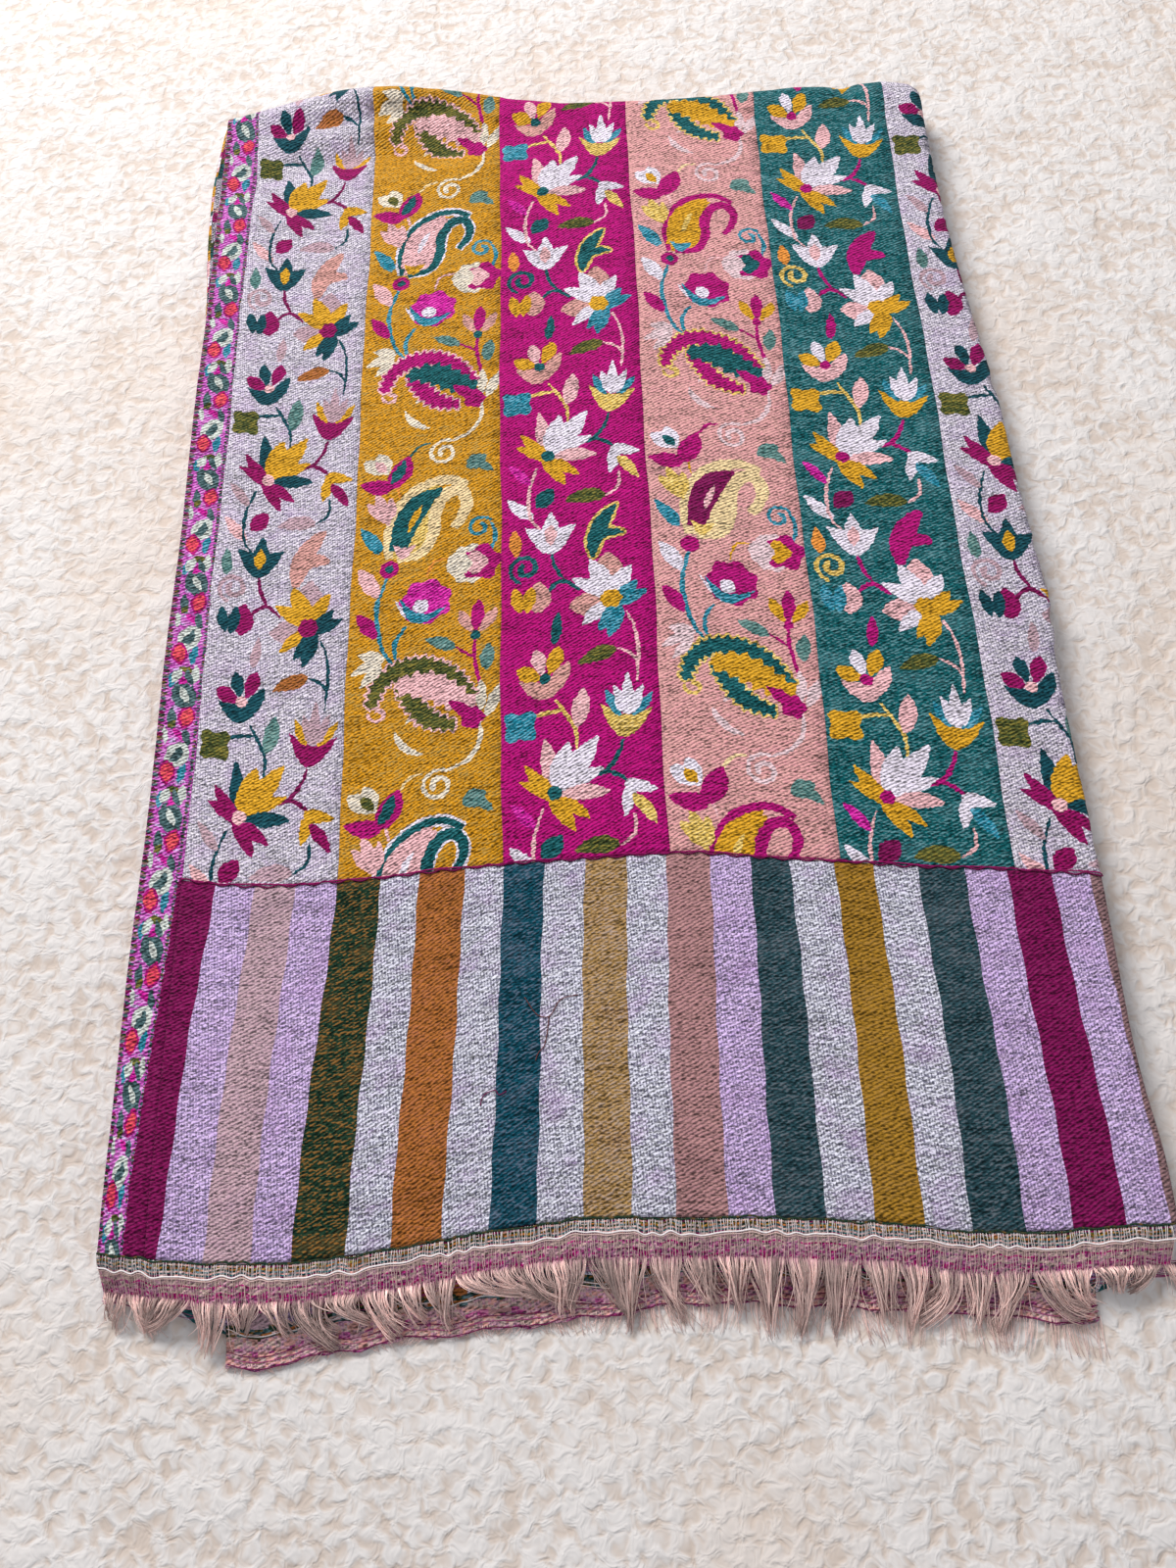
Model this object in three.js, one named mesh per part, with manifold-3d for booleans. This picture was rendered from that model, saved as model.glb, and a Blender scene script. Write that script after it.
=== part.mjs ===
// A woven wool shawl, 1 m wide and 2 m long, folded in three across its width and in four along its length.
// It lies flat. Millimetres, +Z up, +X towards the right-hand fold, +Y from the fringed end to the back fold.
// Places are written from the middle of the hem, and the whole group is centred on its base at the end.
import * as THREE from "three";
import { mergeVertices } from "three/addons/utils/BufferGeometryUtils.js";
import Module from "manifold-3d";

const wasm = await Module();
wasm.setup();

// Thicknesses of the cloth and of the folded stack
const CLOTH = 1.2; // one layer, with its nap
const GAP = 0.3; // between pieces
const UNDER = CLOTH + GAP; // from a layer's face down to what it lies on
const STACK_FRONT = 13;
const STACK_BACK = 16.5;
const HEM_DROP = 1.6; // the stack is lower at its very hem
const HEM_DROP_REACH = 14;
const HEM_LOWER_REACH = 25; // so far behind the hem the middle plane is lower

// Rows of the top layer from the hem to the seam, on to the back fold and round it, and steps across
const END_ROWS = 5;
const FIELD_ROWS = 16;
const BACK_ROWS = 6;
const FIELD_STEPS = 16;
const LOWER_STEPS = 26; // across the pieces of the layer below

// The pieces across the width
const BAND_LEFT = -170.5;
const BAND_WIDTH = 15;
const FIELD_LEFT = BAND_LEFT + BAND_WIDTH + GAP;
const MIDDLE_RIGHT = 163;
const UNDER_HEM_LEFT = -130;
const UNDER_HEM_RIGHT = 140;

// The rounded folds
const LIP_OUT = 3; // how far a fold rounds out sideways
const LIP_SHARE = 0.3; // half height of the top layer's fold, as a share of half the stack
const LIP_STEPS = 4;
const GROOVE = 2.2; // how far the grooves between the folds go in
const GROOVE_STEP = 0.01; // and how far above the fold each ends, as a share of the half height
const SIDE_WRAP = THREE.MathUtils.degToRad(165); // the top layer's turn round the right-hand fold
const BACK_WRAP = THREE.MathUtils.degToRad(148); // its turn round the back fold
const STEP_OUT = THREE.MathUtils.degToRad(150.5); // below it the layers inside come out by its thickness
const STEP_TURN = THREE.MathUtils.degToRad(1);

// Folds and edges of the hidden layers in the upper half of the stack, from the middle plane outwards: from
// and to as shares of the half height, and how far each lies inside the outline
const LEFT_LIPS = [
  { from: 0.04, to: 0.4, inset: 2.0 },
  { from: 0.44, to: 0.82, inset: 0 },
];
const RIGHT_LIPS = [
  { from: 0.04, to: 0.44, inset: 1.2 },
  { from: 0.46, to: 0.54, inset: 5.0 },
];

// Lines seen from above: the hem, the seam between its striped end and the flowered field, and the back fold
const HEM_LINE = [
  { x: -171, y: 10 }, { x: -122, y: 5.5 }, { x: -77, y: 8.5 }, { x: -46, y: 13 }, { x: -15, y: 15.5 },
  { x: 30, y: 14.5 }, { x: 74, y: 12 }, { x: 104, y: 8 }, { x: 166, y: 8.5 },
];
const SEAM_LINE = [
  { x: -171, y: 134 }, { x: -132, y: 128.5 }, { x: -98, y: 128.5 }, { x: -60, y: 131.5 }, { x: 20, y: 134 },
  { x: 60, y: 130 }, { x: 121, y: 124 }, { x: 166, y: 120 },
];
const BACK_LINE = [
  { x: -171, y: 502 }, { x: -140, y: 507 }, { x: -102, y: 510 }, { x: -60, y: 508 }, { x: 0, y: 502 },
  { x: 60, y: 501 }, { x: 122, y: 501 }, { x: 166, y: 494 },
];
// Where the front slope meets the floor, which is the hem of the layer below between its two corners
const FLOOR_LINE = [
  { x: -171, y: -3 }, { x: -150, y: -13 }, { x: -128, y: -23.5 }, { x: -105, y: -21 }, { x: -76, y: -17 },
  { x: -52, y: -15 }, { x: -16, y: -12 }, { x: 13, y: -9 }, { x: 42, y: -10 }, { x: 71, y: -12 },
  { x: 100, y: -14 }, { x: 138, y: -17.5 }, { x: 152, y: -12 }, { x: 166, y: -6 },
];
const RIGHT_FOLD = [
  { y: -40, x: 166 }, { y: 22, x: 165.5 }, { y: 60, x: 162.5 }, { y: 121, x: 163 }, { y: 192, x: 162.5 },
  { y: 234, x: 164.5 }, { y: 278, x: 161.5 }, { y: 326, x: 160 }, { y: 379, x: 155.5 }, { y: 436, x: 152.5 },
  { y: 510, x: 151 },
];
const LEFT_FOLD = [
  { y: -40, x: -171 }, { y: 200, x: -171.2 }, { y: 348, x: -172.2 }, { y: 403, x: -173.6 },
  { y: 462, x: -176.3 }, { y: 490, x: -174.5 }, { y: 510, x: -171.5 },
];

// Swells and hollows of the stack: centre, half widths along and across, turn in degrees and height
const SWELLS = [
  { x: -104, y: 508, along: 52, across: 20, turn: 8, height: 7.5 },
  { x: -128, y: 474, along: 48, across: 8, turn: 20, height: -2.0 },
  { x: 141, y: 500, along: 20, across: 22, turn: 0, height: 3.4 },
  { x: 117, y: 506, along: 16, across: 5, turn: 90, height: -1.6 },
  { x: 92, y: 504, along: 26, across: 14, turn: 0, height: 1.6 },
  { x: -20, y: 300, along: 110, across: 60, turn: 30, height: 1.1 },
  { x: 120, y: 250, along: 110, across: 26, turn: 86, height: 1.5 },
  { x: -140, y: 215, along: 90, across: 20, turn: 90, height: -0.8 },
  { x: -122, y: 60, along: 60, across: 34, turn: 100, height: 1.0 },
  { x: 20, y: 66, along: 70, across: 40, turn: -6, height: 1.2 },
  { x: 84, y: 92, along: 60, across: 16, turn: 66, height: -0.9 },
];

const smooth = (t) => t * t * (3 - 2 * t);
const mix = (a, b, t) => a + (b - a) * t;
const clamp = (t) => Math.min(Math.max(t, 0), 1);
const steps = (n) => Array.from({ length: n + 1 }, (_, i) => i / n);

// A smooth function through a table's rows: cubics whose slope at a row is that between its neighbours
function through(rows, key, value) {
  const k = rows.map((row) => row[key]);
  const v = rows.map((row) => row[value]);
  const last = rows.length - 1;
  const slope = v.map((_, i) => {
    const a = Math.max(i - 1, 0);
    const b = Math.min(i + 1, last);
    return (v[b] - v[a]) / (k[b] - k[a]);
  });
  return (at) => {
    const c = Math.min(Math.max(at, k[0]), k[last]);
    const i = Math.min(k.findLastIndex((edge) => edge <= c), last - 1);
    const width = k[i + 1] - k[i];
    const t = (c - k[i]) / width;
    const straight = mix(v[i], v[i + 1], smooth(t));
    return straight + width * t * (1 - t) * (slope[i] * (1 - t) - slope[i + 1] * t);
  };
}
const hemY = through(HEM_LINE, "x", "y");
const seamY = through(SEAM_LINE, "x", "y");
const backY = through(BACK_LINE, "x", "y");
const floorY = through(FLOOR_LINE, "x", "y");
const rightX = through(RIGHT_FOLD, "y", "x");
const leftX = through(LEFT_FOLD, "y", "x");

// Height of the top layer's face, and in front of the hem that of its fringe, which falls to the floor line
function faceHeight(x, y) {
  const hem = hemY(x);
  const inside = Math.max(y, hem);
  let height = mix(STACK_FRONT, STACK_BACK, smooth(clamp(inside / backY(x))));
  height -= HEM_DROP * Math.exp(-(((inside - hem) / HEM_DROP_REACH) ** 2));
  for (const swell of SWELLS) {
    const turn = THREE.MathUtils.degToRad(swell.turn);
    const [dx, dy] = [x - swell.x, inside - swell.y];
    const a = (dx * Math.cos(turn) + dy * Math.sin(turn)) / swell.along;
    const b = (dy * Math.cos(turn) - dx * Math.sin(turn)) / swell.across;
    height += swell.height * Math.exp(-a * a - b * b);
  }
  const fallen = clamp((hem - y) / (hem - floorY(x)));
  return mix(height, CLOTH + UNDER, (1 - Math.cos(Math.PI * fallen)) / 2);
}

// Middle plane of the hidden layers: half the stack, and lower by one layer at the hem
function middleHeight(x, y) {
  const near = 1 - smooth(clamp((y - hemY(x)) / HEM_LOWER_REACH));
  return faceHeight(x, y) / 2 - UNDER * near;
}

// A point over or under the middle plane by rise, turned about that plane by an angle round the back fold.
// On a fold that rounds out sideways the plane's height is that where the rounding starts.
function place(x, start, y, rise, turn) {
  return new THREE.Vector3(x, y + rise * Math.sin(turn), middleHeight(start, y) + rise * Math.cos(turn));
}

// A section's point: its x, and the shares of the radius and of the depth that make its rise
const flat = (x, share = 1) => ({ x, radius: share, depth: share });
const lip = (right, depth, angle) => ({
  x: right - LIP_OUT + (LIP_OUT - depth) * Math.sin(angle),
  radius: 1 - LIP_SHARE + LIP_SHARE * Math.cos(angle),
  depth: Math.cos(angle),
});
const rise = (point, radius, depth) => radius * point.radius - depth * point.depth;

// Triangles over a grid of points whose first index runs along +X and whose second runs along +Y
function skin(grid, flip) {
  const corners = [];
  for (let i = 0; i + 1 < grid.length; i++)
    for (let j = 0; j + 1 < grid[i].length; j++) {
      const [a, b, c, d] = [grid[i][j], grid[i + 1][j], grid[i + 1][j + 1], grid[i][j + 1]];
      corners.push(...(flip ? [a, c, b, a, d, c] : [a, b, c, a, c, d]));
    }
  return corners;
}

// A closed geometry from triangle corners, with its doubles merged and empty triangles left out
function closed(corners) {
  const soup = new THREE.BufferGeometry().setFromPoints(corners);
  const merged = mergeVertices(soup, 1e-4);
  const kept = [];
  for (let i = 0; i < merged.index.count; i += 3) {
    const [a, b, c] = [0, 1, 2].map((k) => merged.index.getX(i + k));
    if (a !== b && b !== c && c !== a) kept.push(a, b, c);
  }
  merged.setIndex(kept);
  merged.computeVertexNormals();
  return merged;
}

// A wall between an outer and an inner grid of the same size, closed round its rim
function wall(outer, inner) {
  const end = outer.length - 1;
  const side = outer[0].length - 1;
  return closed([
    ...skin(outer, false),
    ...skin(inner, true),
    ...skin(outer.map((row, i) => [inner[i][0], row[0]]), false),
    ...skin(outer.map((row, i) => [inner[i][side], row[side]]), true),
    ...skin(outer[0].map((point, j) => [inner[0][j], point]), true),
    ...skin(outer[end].map((point, j) => [inner[end][j], point]), false),
  ]);
}

// Rows of the top layer from the hem to the seam and on to the back fold: each gives a y over any x
const endRows = steps(END_ROWS).map((t) => (x) => mix(hemY(x), seamY(x), t));
const fieldRows = steps(FIELD_ROWS).map((t) => (x) => mix(seamY(x) + GAP, backY(x), t));
const backTurns = steps(BACK_ROWS).slice(1).map((t) => t * BACK_WRAP);
const fieldEdge = (row) => rightX(row(MIDDLE_RIGHT)) - LIP_OUT;

// A piece of the top layer over its rows. With no right edge it turns round the right-hand fold, and with
// turns it goes on round the back fold.
function topPiece({ left, right, across, rows, turns = [] }) {
  const angles = right === undefined ? steps(LIP_STEPS + 1).slice(1).map((t) => t * SIDE_WRAP) : [];
  const onFace = (share) => (edge) => flat(mix(left, edge, share));
  const onLip = (angle) => (edge, depth) => lip(edge + LIP_OUT, depth, angle);
  const stations = [...steps(across).map(onFace), ...angles.map(onLip)];
  const grid = (depth) =>
    stations.map((station) => {
      const point = (row, turn) => {
        const edge = right ?? fieldEdge(row);
        const at = station(edge, depth);
        const x = Math.min(at.x, edge);
        const y = row(x);
        return place(at.x, x, y, rise(at, faceHeight(x, y) - middleHeight(x, y), depth), turn);
      };
      const last = rows[rows.length - 1];
      return [...rows.map((row) => point(row, 0)), ...turns.map((turn) => point(last, turn))];
    });
  return wall(grid(0), grid(CLOTH));
}

// Half of the hidden layers' section, from the middle plane on the left over the top to that on the right
function halfSection(left, right, depth) {
  const rounded = (edge, way, { from, to, inset }) => {
    const arc = steps(LIP_STEPS).map((t) => {
      const angle = Math.PI * (t - 0.5);
      const x = edge + way * (inset + LIP_OUT * (1 - Math.cos(angle)));
      return flat(x, mix(from, to, (1 + Math.sin(angle)) / 2));
    });
    return [...arc, flat(edge + way * (inset + LIP_OUT + GROOVE), to + GROOVE_STEP)];
  };
  const middle = (edge, way) => flat(edge + way * (LIP_OUT + 2 * GROOVE), 0);
  const inner = Math.max(FIELD_LEFT, left + 4 * GROOVE);
  const topFace = steps(FIELD_STEPS).map((t) => flat(mix(inner, right - LIP_OUT, t)));
  const fold = steps(LIP_STEPS).slice(1).map((t) => lip(right, depth, Math.PI * t));
  return [
    middle(left, 1),
    ...LEFT_LIPS.flatMap((row) => rounded(left, 1, row)),
    flat(left + GROOVE),
    ...topFace,
    ...fold,
    ...RIGHT_LIPS.flatMap((row) => rounded(right, -1, row)).reverse(),
    middle(right, -1),
  ];
}

// The front slope's rows, as shares of the way from its foot near the floor line back to the hem
const FRONT_ROWS = [0.72, 0.54, 0.36, 0.18, 0];
const SLOPE_INSET = 40; // how far the slope's left side draws in towards its foot, and twice its right side
const SLOPE_SLACK = 0.6; // how far the layers below sink away from the hem that hangs over them

// The hidden layers. Their upper half runs from the front slope to the back fold, turns round it and comes
// back flat on the floor, and a cap closes the front.
function hiddenLayers() {
  const slopeRow = (t) => ({
    line: (x) => mix(hemY(x) - GAP, floorY(x), t),
    inset: SLOPE_INSET * t * t,
    cover: 2 * UNDER + SLOPE_SLACK * Math.sin(Math.PI * t),
  });
  const hiddenRow = (line) => ({ line, inset: 0, cover: 0 });
  const rows = [
    ...FRONT_ROWS.map(slopeRow),
    ...[...endRows, ...fieldRows.slice(1)].map(hiddenRow),
  ];
  const ring = ({ line, inset, cover }, upper, turn, depth) => {
    const left = leftX(line(BAND_LEFT)) + inset;
    const right = rightX(line(MIDDLE_RIGHT)) - inset / 2;
    return halfSection(left, right, depth).map((point) => {
      const x = Math.min(point.x, right - LIP_OUT);
      const y = line(x);
      const middle = middleHeight(x, y);
      const radius = upper ? faceHeight(x, y) - cover - middle : middle;
      return place(point.x, x, y, rise(point, radius, depth), turn);
    });
  };
  const back = rows[rows.length - 1];
  const turning = [
    ...[...backTurns, STEP_OUT].map((turn) => ring(back, true, turn, UNDER)),
    ring(back, false, STEP_OUT + STEP_TURN, 0),
  ];
  const rings = [
    ...rows.map((row) => ring(row, true, 0, row.cover ? 0 : UNDER)),
    ...turning,
    ...rows.map((row) => ring(row, false, Math.PI, 0)).reverse(),
  ];
  const grid = rings[0].map((_, i) => rings.map((points) => points[i]));
  // The front is capped in narrow steps where it is one face, because its line curves
  const [upper, lower] = [rings[0], rings[rings.length - 1]];
  const cap = (from, to) => {
    const ring = [...lower.slice(from, to + 1), ...upper.slice(from, to + 1).reverse()];
    const outline = ring.filter((point, i) => point.distanceTo(ring.at(i - 1)) > 1e-6);
    const contour = outline.map((point) => new THREE.Vector2(point.x, point.z));
    return THREE.ShapeUtils.triangulateShape(contour, []).flat().map((i) => outline[i]);
  };
  const face = 2 + LEFT_LIPS.length * (LIP_STEPS + 2);
  const cuts = [0, ...steps(FIELD_STEPS - 1).map((_, i) => face + i), upper.length - 1];
  return closed([...skin(grid, false), ...cuts.slice(1).flatMap((to, i) => cap(cuts[i], to))]);
}

// A strip of cloth lying at a depth below the face, between two lines
function strip({ left, right, across, lines, depth, thick }) {
  const grid = (down) =>
    steps(across).map((t) => {
      const x = mix(left, right, t);
      return lines(x).map((y) => new THREE.Vector3(x, y, Math.max(faceHeight(x, y) - depth, thick) - down));
    });
  return wall(grid(0), grid(thick));
}

// The end of the layer below, from under the hem to its own hem on the floor
const UNDER_HEM_ROWS = [1, 0.86, ...FRONT_ROWS];
const underHem = strip({
  left: UNDER_HEM_LEFT, right: UNDER_HEM_RIGHT, across: LOWER_STEPS, depth: UNDER, thick: CLOTH,
  lines: (x) => UNDER_HEM_ROWS.map((t) => mix(hemY(x) - 2 * GAP, floorY(x), t)),
});

// Locks of fringe taper, start inside their header, and are uneven from one to the next
const LOCK_TAPER = 0.6;
const LOCK_ROOT = 1;
const unevenLength = (i) => 1 + 0.14 * Math.sin(2.4 * i) + 0.1 * Math.sin(0.9 * i);
const unevenLift = (i) => 0.5 * (1 + Math.sin(1.7 * i));
const tuftLean = (x) => Math.sin(x / 8) + 0.5 * Math.sin(x / 21 + 1);

// A lock of fringe: a three-sided tapering spike along a path
function lock(path, thick) {
  const count = path.length - 1;
  const rings = path.slice(0, count).map((centre, i) => {
    const ahead = path[i + 1].clone().sub(path[Math.max(i - 1, 0)]).normalize();
    const side = new THREE.Vector3(0, 0, 1).cross(ahead).normalize();
    const up = ahead.clone().cross(side);
    const radius = (thick / 2) * (1 - LOCK_TAPER * (i / count));
    return [0, 1, 2].map((k) => {
      const angle = Math.PI / 2 + (k * 2 * Math.PI) / 3;
      const across = side.clone().multiplyScalar(radius * Math.cos(angle));
      return across.addScaledVector(up, radius * Math.sin(angle)).add(centre);
    });
  });
  const corners = [rings[0][2], rings[0][1], rings[0][0]];
  for (let i = 0; i < count; i++)
    for (let k = 0; k < 3; k++) {
      const [a, b] = [rings[i][k], rings[i][(k + 1) % 3]];
      if (i === count - 1) corners.push(a, b, path[count]);
      else corners.push(a, b, rings[i + 1][(k + 1) % 3], a, rings[i + 1][(k + 1) % 3], rings[i + 1][k]);
    }
  return closed(corners);
}

const toSolid = (geometry) =>
  new wasm.Manifold(new wasm.Mesh({
    numProp: 3,
    vertProperties: new Float32Array(geometry.getAttribute("position").array),
    triVerts: new Uint32Array(geometry.index.array),
  }));

function fromSolid(solid) {
  const mesh = solid.getMesh();
  const geometry = new THREE.BufferGeometry();
  geometry.setAttribute("position", new THREE.BufferAttribute(mesh.vertProperties, 3));
  geometry.setIndex(new THREE.BufferAttribute(mesh.triVerts, 1));
  geometry.computeVertexNormals();
  return geometry;
}

// A fringe: its header strip with the roots of its locks fused in. Neighbouring locks lean alike, in tufts.
function fringe({ header, left, right, count, root, reach, lean, height, thick, parts }) {
  let solid = toSolid(header);
  for (let i = 0; i < count; i++) {
    const x = mix(left, right, (i + 0.5) / count);
    const length = reach(x) * unevenLength(i);
    const tuft = lean * tuftLean(x);
    const path = steps(parts).map((t) => {
      const at = new THREE.Vector3(x + tuft * t * t, root(x) - length * t, 0);
      at.z = height(at.x, at.y) + Math.sin(Math.PI * t) * unevenLift(i);
      return at;
    });
    solid = solid.add(toSolid(lock(path, thick)));
  }
  return fromSolid(solid);
}

const HEADER_WIDTH = 6;
const HEADER_STEPS = 36;
const LOCK_SINK = 0.5; // how far the locks' middles lie below the face
const FRINGE_LENGTH = [
  { x: -171, reach: 12 }, { x: -150, reach: 17 }, { x: -120, reach: 19 }, { x: -76, reach: 18 },
  { x: -40, reach: 21 }, { x: 12, reach: 25 }, { x: 41, reach: 29 }, { x: 70, reach: 28 },
  { x: 115, reach: 27 }, { x: 144, reach: 16 }, { x: 166, reach: 16 },
];
const fringeTop = fringe({
  header: strip({
    left: BAND_LEFT, right: MIDDLE_RIGHT, across: HEADER_STEPS, depth: 0, thick: CLOTH,
    lines: (x) => [HEADER_WIDTH + GAP, GAP + HEADER_WIDTH / 2, GAP].map((out) => hemY(x) - out),
  }),
  left: BAND_LEFT, right: MIDDLE_RIGHT, count: 96, parts: 3, thick: 1.4, lean: 3,
  root: (x) => hemY(x) - HEADER_WIDTH + LOCK_ROOT,
  reach: through(FRINGE_LENGTH, "x", "reach"),
  height: (x, y) => faceHeight(x, y) - LOCK_SINK,
});

const LOWER_HEADER = 3;
const LOWER_HEADER_THICK = 1;
const LOWER_REACH = 10;
const LOWER_LOCK_SINK = 0.4;
const fringeLower = fringe({
  header: strip({
    left: UNDER_HEM_LEFT, right: UNDER_HEM_RIGHT, across: LOWER_STEPS, depth: UNDER, thick: LOWER_HEADER_THICK,
    lines: (x) => [GAP + LOWER_HEADER, GAP].map((out) => floorY(x) - out),
  }),
  left: UNDER_HEM_LEFT, right: UNDER_HEM_RIGHT, count: 60, parts: 2, thick: 0.8, lean: 1.6,
  root: (x) => floorY(x) - LOWER_HEADER + LOCK_ROOT,
  reach: () => LOWER_REACH,
  height: () => LOWER_HEADER_THICK - LOWER_LOCK_SINK,
});

const group = new THREE.Group();
const addPiece = (name, geometry, color) => {
  const material = new THREE.MeshStandardMaterial({ color, roughness: 0.85, metalness: 0 });
  const mesh = new THREE.Mesh(geometry, material);
  mesh.name = name;
  group.add(mesh);
};
const field = { left: FIELD_LEFT, across: FIELD_STEPS };
const band = { left: BAND_LEFT, right: BAND_LEFT + BAND_WIDTH, across: 1 };
const bandRows = [...endRows, ...fieldRows.slice(1)];
addPiece("field_cloth", topPiece({ ...field, rows: fieldRows, turns: backTurns }), "#b0107c");
addPiece("end_panel", topPiece({ ...field, rows: endRows }), "#d2cddc");
addPiece("side_band", topPiece({ ...band, rows: bandRows, turns: backTurns }), "#c24fb8");
addPiece("folded_stack", hiddenLayers(), "#c8931e");
addPiece("under_hem", underHem, "#9e2e72");
addPiece("fringe_top", fringeTop, "#c9b2a4");
addPiece("fringe_lower", fringeLower, "#c9b2a4");

const box = new THREE.Box3().setFromObject(group);
const centre = box.getCenter(new THREE.Vector3());
group.position.set(-centre.x, -centre.y, -box.min.z);
export default group;
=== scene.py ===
import math

import bpy
import numpy as np
from mathutils import Matrix, Vector
from mathutils.geometry import delaunay_2d_cdt


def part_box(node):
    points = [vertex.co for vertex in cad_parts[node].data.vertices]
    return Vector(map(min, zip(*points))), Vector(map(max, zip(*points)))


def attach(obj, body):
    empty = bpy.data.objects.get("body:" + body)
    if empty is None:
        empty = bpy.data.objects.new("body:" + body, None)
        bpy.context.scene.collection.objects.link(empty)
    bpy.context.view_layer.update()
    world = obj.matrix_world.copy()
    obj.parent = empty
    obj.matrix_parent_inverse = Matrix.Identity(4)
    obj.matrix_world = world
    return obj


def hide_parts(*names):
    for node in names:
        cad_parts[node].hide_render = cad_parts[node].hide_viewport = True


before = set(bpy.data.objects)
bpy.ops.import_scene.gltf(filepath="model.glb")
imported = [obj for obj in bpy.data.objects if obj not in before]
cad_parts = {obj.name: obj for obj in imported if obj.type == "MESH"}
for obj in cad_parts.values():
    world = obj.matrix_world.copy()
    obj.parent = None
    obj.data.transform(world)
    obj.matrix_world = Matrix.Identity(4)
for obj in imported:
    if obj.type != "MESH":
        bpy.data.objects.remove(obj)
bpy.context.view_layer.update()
chance = np.random.default_rng(11)

# The stack, as in the part's source: millimetres, and turns as angles
CLOTH = 1.2
GAP = 0.3
UNDER = CLOTH + GAP
STACK_FRONT = 13
STACK_BACK = 16.5
HEM_DROP = 1.6
HEM_DROP_REACH = 14
BAND_LEFT = -170.5
BAND_WIDTH = 15
FIELD_LEFT = BAND_LEFT + BAND_WIDTH + GAP
UNDER_HEM_LEFT = -130
UNDER_HEM_RIGHT = 140
LIP_OUT = 3
LIP_SHARE = 0.3
LIP_ROUND = 2.6  # mean radius of the right-hand fold
GROOVE = 2.2
SIDE_WRAP = math.radians(165)
BACK_WRAP = math.radians(148)
STEP_OUT = math.radians(150.5)
STEP_TURN = math.radians(1)
SHELL = 0.9  # thickness of one layer of the shown cloth
MIDDLE_REACH = 25  # how far behind the hem the middle plane is lower
CREASE_REACH = 30  # length of cloth for which the creases go on round the back fold
CREASE_FADE = 0.4  # share of their height that they lose there

# Seen from above, each a table of at and value: lines over x, and folds over y
HEM_LINE = (
    (-171, 10), (-122, 5.5), (-77, 8.5), (-46, 13), (-15, 15.5), (30, 14.5), (74, 12), (104, 8), (166, 8.5),
)
SEAM_LINE = (
    (-171, 134), (-132, 128.5), (-98, 128.5), (-60, 131.5), (20, 134), (60, 130), (121, 124), (166, 120),
)
BACK_LINE = (
    (-171, 502), (-140, 507), (-102, 510), (-60, 508), (0, 502), (60, 501), (122, 501), (166, 494),
)
FLOOR_LINE = (
    (-171, -3), (-150, -13), (-128, -23.5), (-105, -21), (-76, -17), (-52, -15), (-16, -12), (13, -9),
    (42, -10), (71, -12), (100, -14), (138, -17.5), (152, -12), (166, -6),
)
RIGHT_FOLD = (
    (-40, 166), (22, 165.5), (60, 162.5), (121, 163), (192, 162.5), (234, 164.5), (278, 161.5),
    (326, 160), (379, 155.5), (436, 152.5), (510, 151),
)
LEFT_FOLD = (
    (-40, -171), (200, -171.2), (348, -172.2), (403, -173.6), (462, -176.3), (490, -174.5), (510, -171.5),
)
FRINGE_LENGTH = (
    (-171, 12), (-150, 17), (-120, 19), (-76, 18), (-40, 21), (12, 25), (41, 29), (70, 28), (115, 27),
    (144, 16), (166, 16),
)
# Swells of the stack, then the cloth's own creases: x, y, half widths along and across, turn and height
SWELLS = (
    (-104, 508, 52, 20, 8, 7.5), (-128, 474, 48, 8, 20, -2), (141, 500, 20, 22, 0, 3.4),
    (117, 506, 16, 5, 90, -1.6), (92, 504, 26, 14, 0, 1.6), (-20, 300, 110, 60, 30, 1.1),
    (120, 250, 110, 26, 86, 1.5), (-140, 215, 90, 20, 90, -0.8), (-122, 60, 60, 34, 100, 1),
    (20, 66, 70, 40, -6, 1.2), (84, 92, 60, 16, 66, -0.9),
)
CREASES = (
    (-60, 478, 90, 5, -3, -0.7), (60, 470, 70, 6, 4, -0.5), (-96, 440, 34, 5, 62, 0.6),
    (-120, 380, 60, 6, 84, -0.5), (30, 402, 50, 8, 20, 0.5), (104, 330, 60, 6, 80, -0.6),
    (-30, 232, 46, 7, 12, 0.5), (136, 190, 70, 7, 88, 0.7), (-148, 300, 80, 4, 90, 0.5),
    (70, 160, 50, 7, -20, -0.5), (-60, 60, 46, 6, 78, 0.7), (-28, 56, 50, 7, 96, -0.7),
    (8, 40, 42, 5, 84, 0.6), (52, 50, 44, 7, 100, -0.6), (100, 44, 46, 6, 80, 0.7),
    (130, 60, 50, 7, 96, -0.7), (-104, 34, 34, 6, 70, -0.6), (-140, 50, 44, 5, 98, 0.6),
    (-112, 498, 56, 4.6, 6, -3.4), (-106, 508, 62, 4.6, 5, 1.8), (-92, 470, 30, 3.4, 24, -0.8),
    (-88, 482, 80, 9, 3, -2.4), (-36, 494, 30, 4, 2, -1.2), (30, 486, 40, 6, 4, -1),
    (140, 486, 22, 4, 74, -1.2), (150, 470, 30, 5, 84, 1),
    (92, 488, 40, 4.5, -6, -0.9), (134, 470, 26, 5, 60, 0.9),
)
# The folds at the sides in the upper half of the stack: from and to as shares of the half height, how far
# each lies inside the outline, and the yarn that shows
LEFT_LIPS = (
    (0.04, 0.13, 1.6, "band"), (0.16, 0.42, 2.2, "field_mustard"), (0.46, 0.83, 0.2, "field_mustard"),
)
RIGHT_LIPS = (
    (0.04, 0.22, 2.4, "field_white"), (0.25, 0.44, 1.2, "field_white"), (0.46, 0.54, 5.0, "band"),
)
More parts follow.
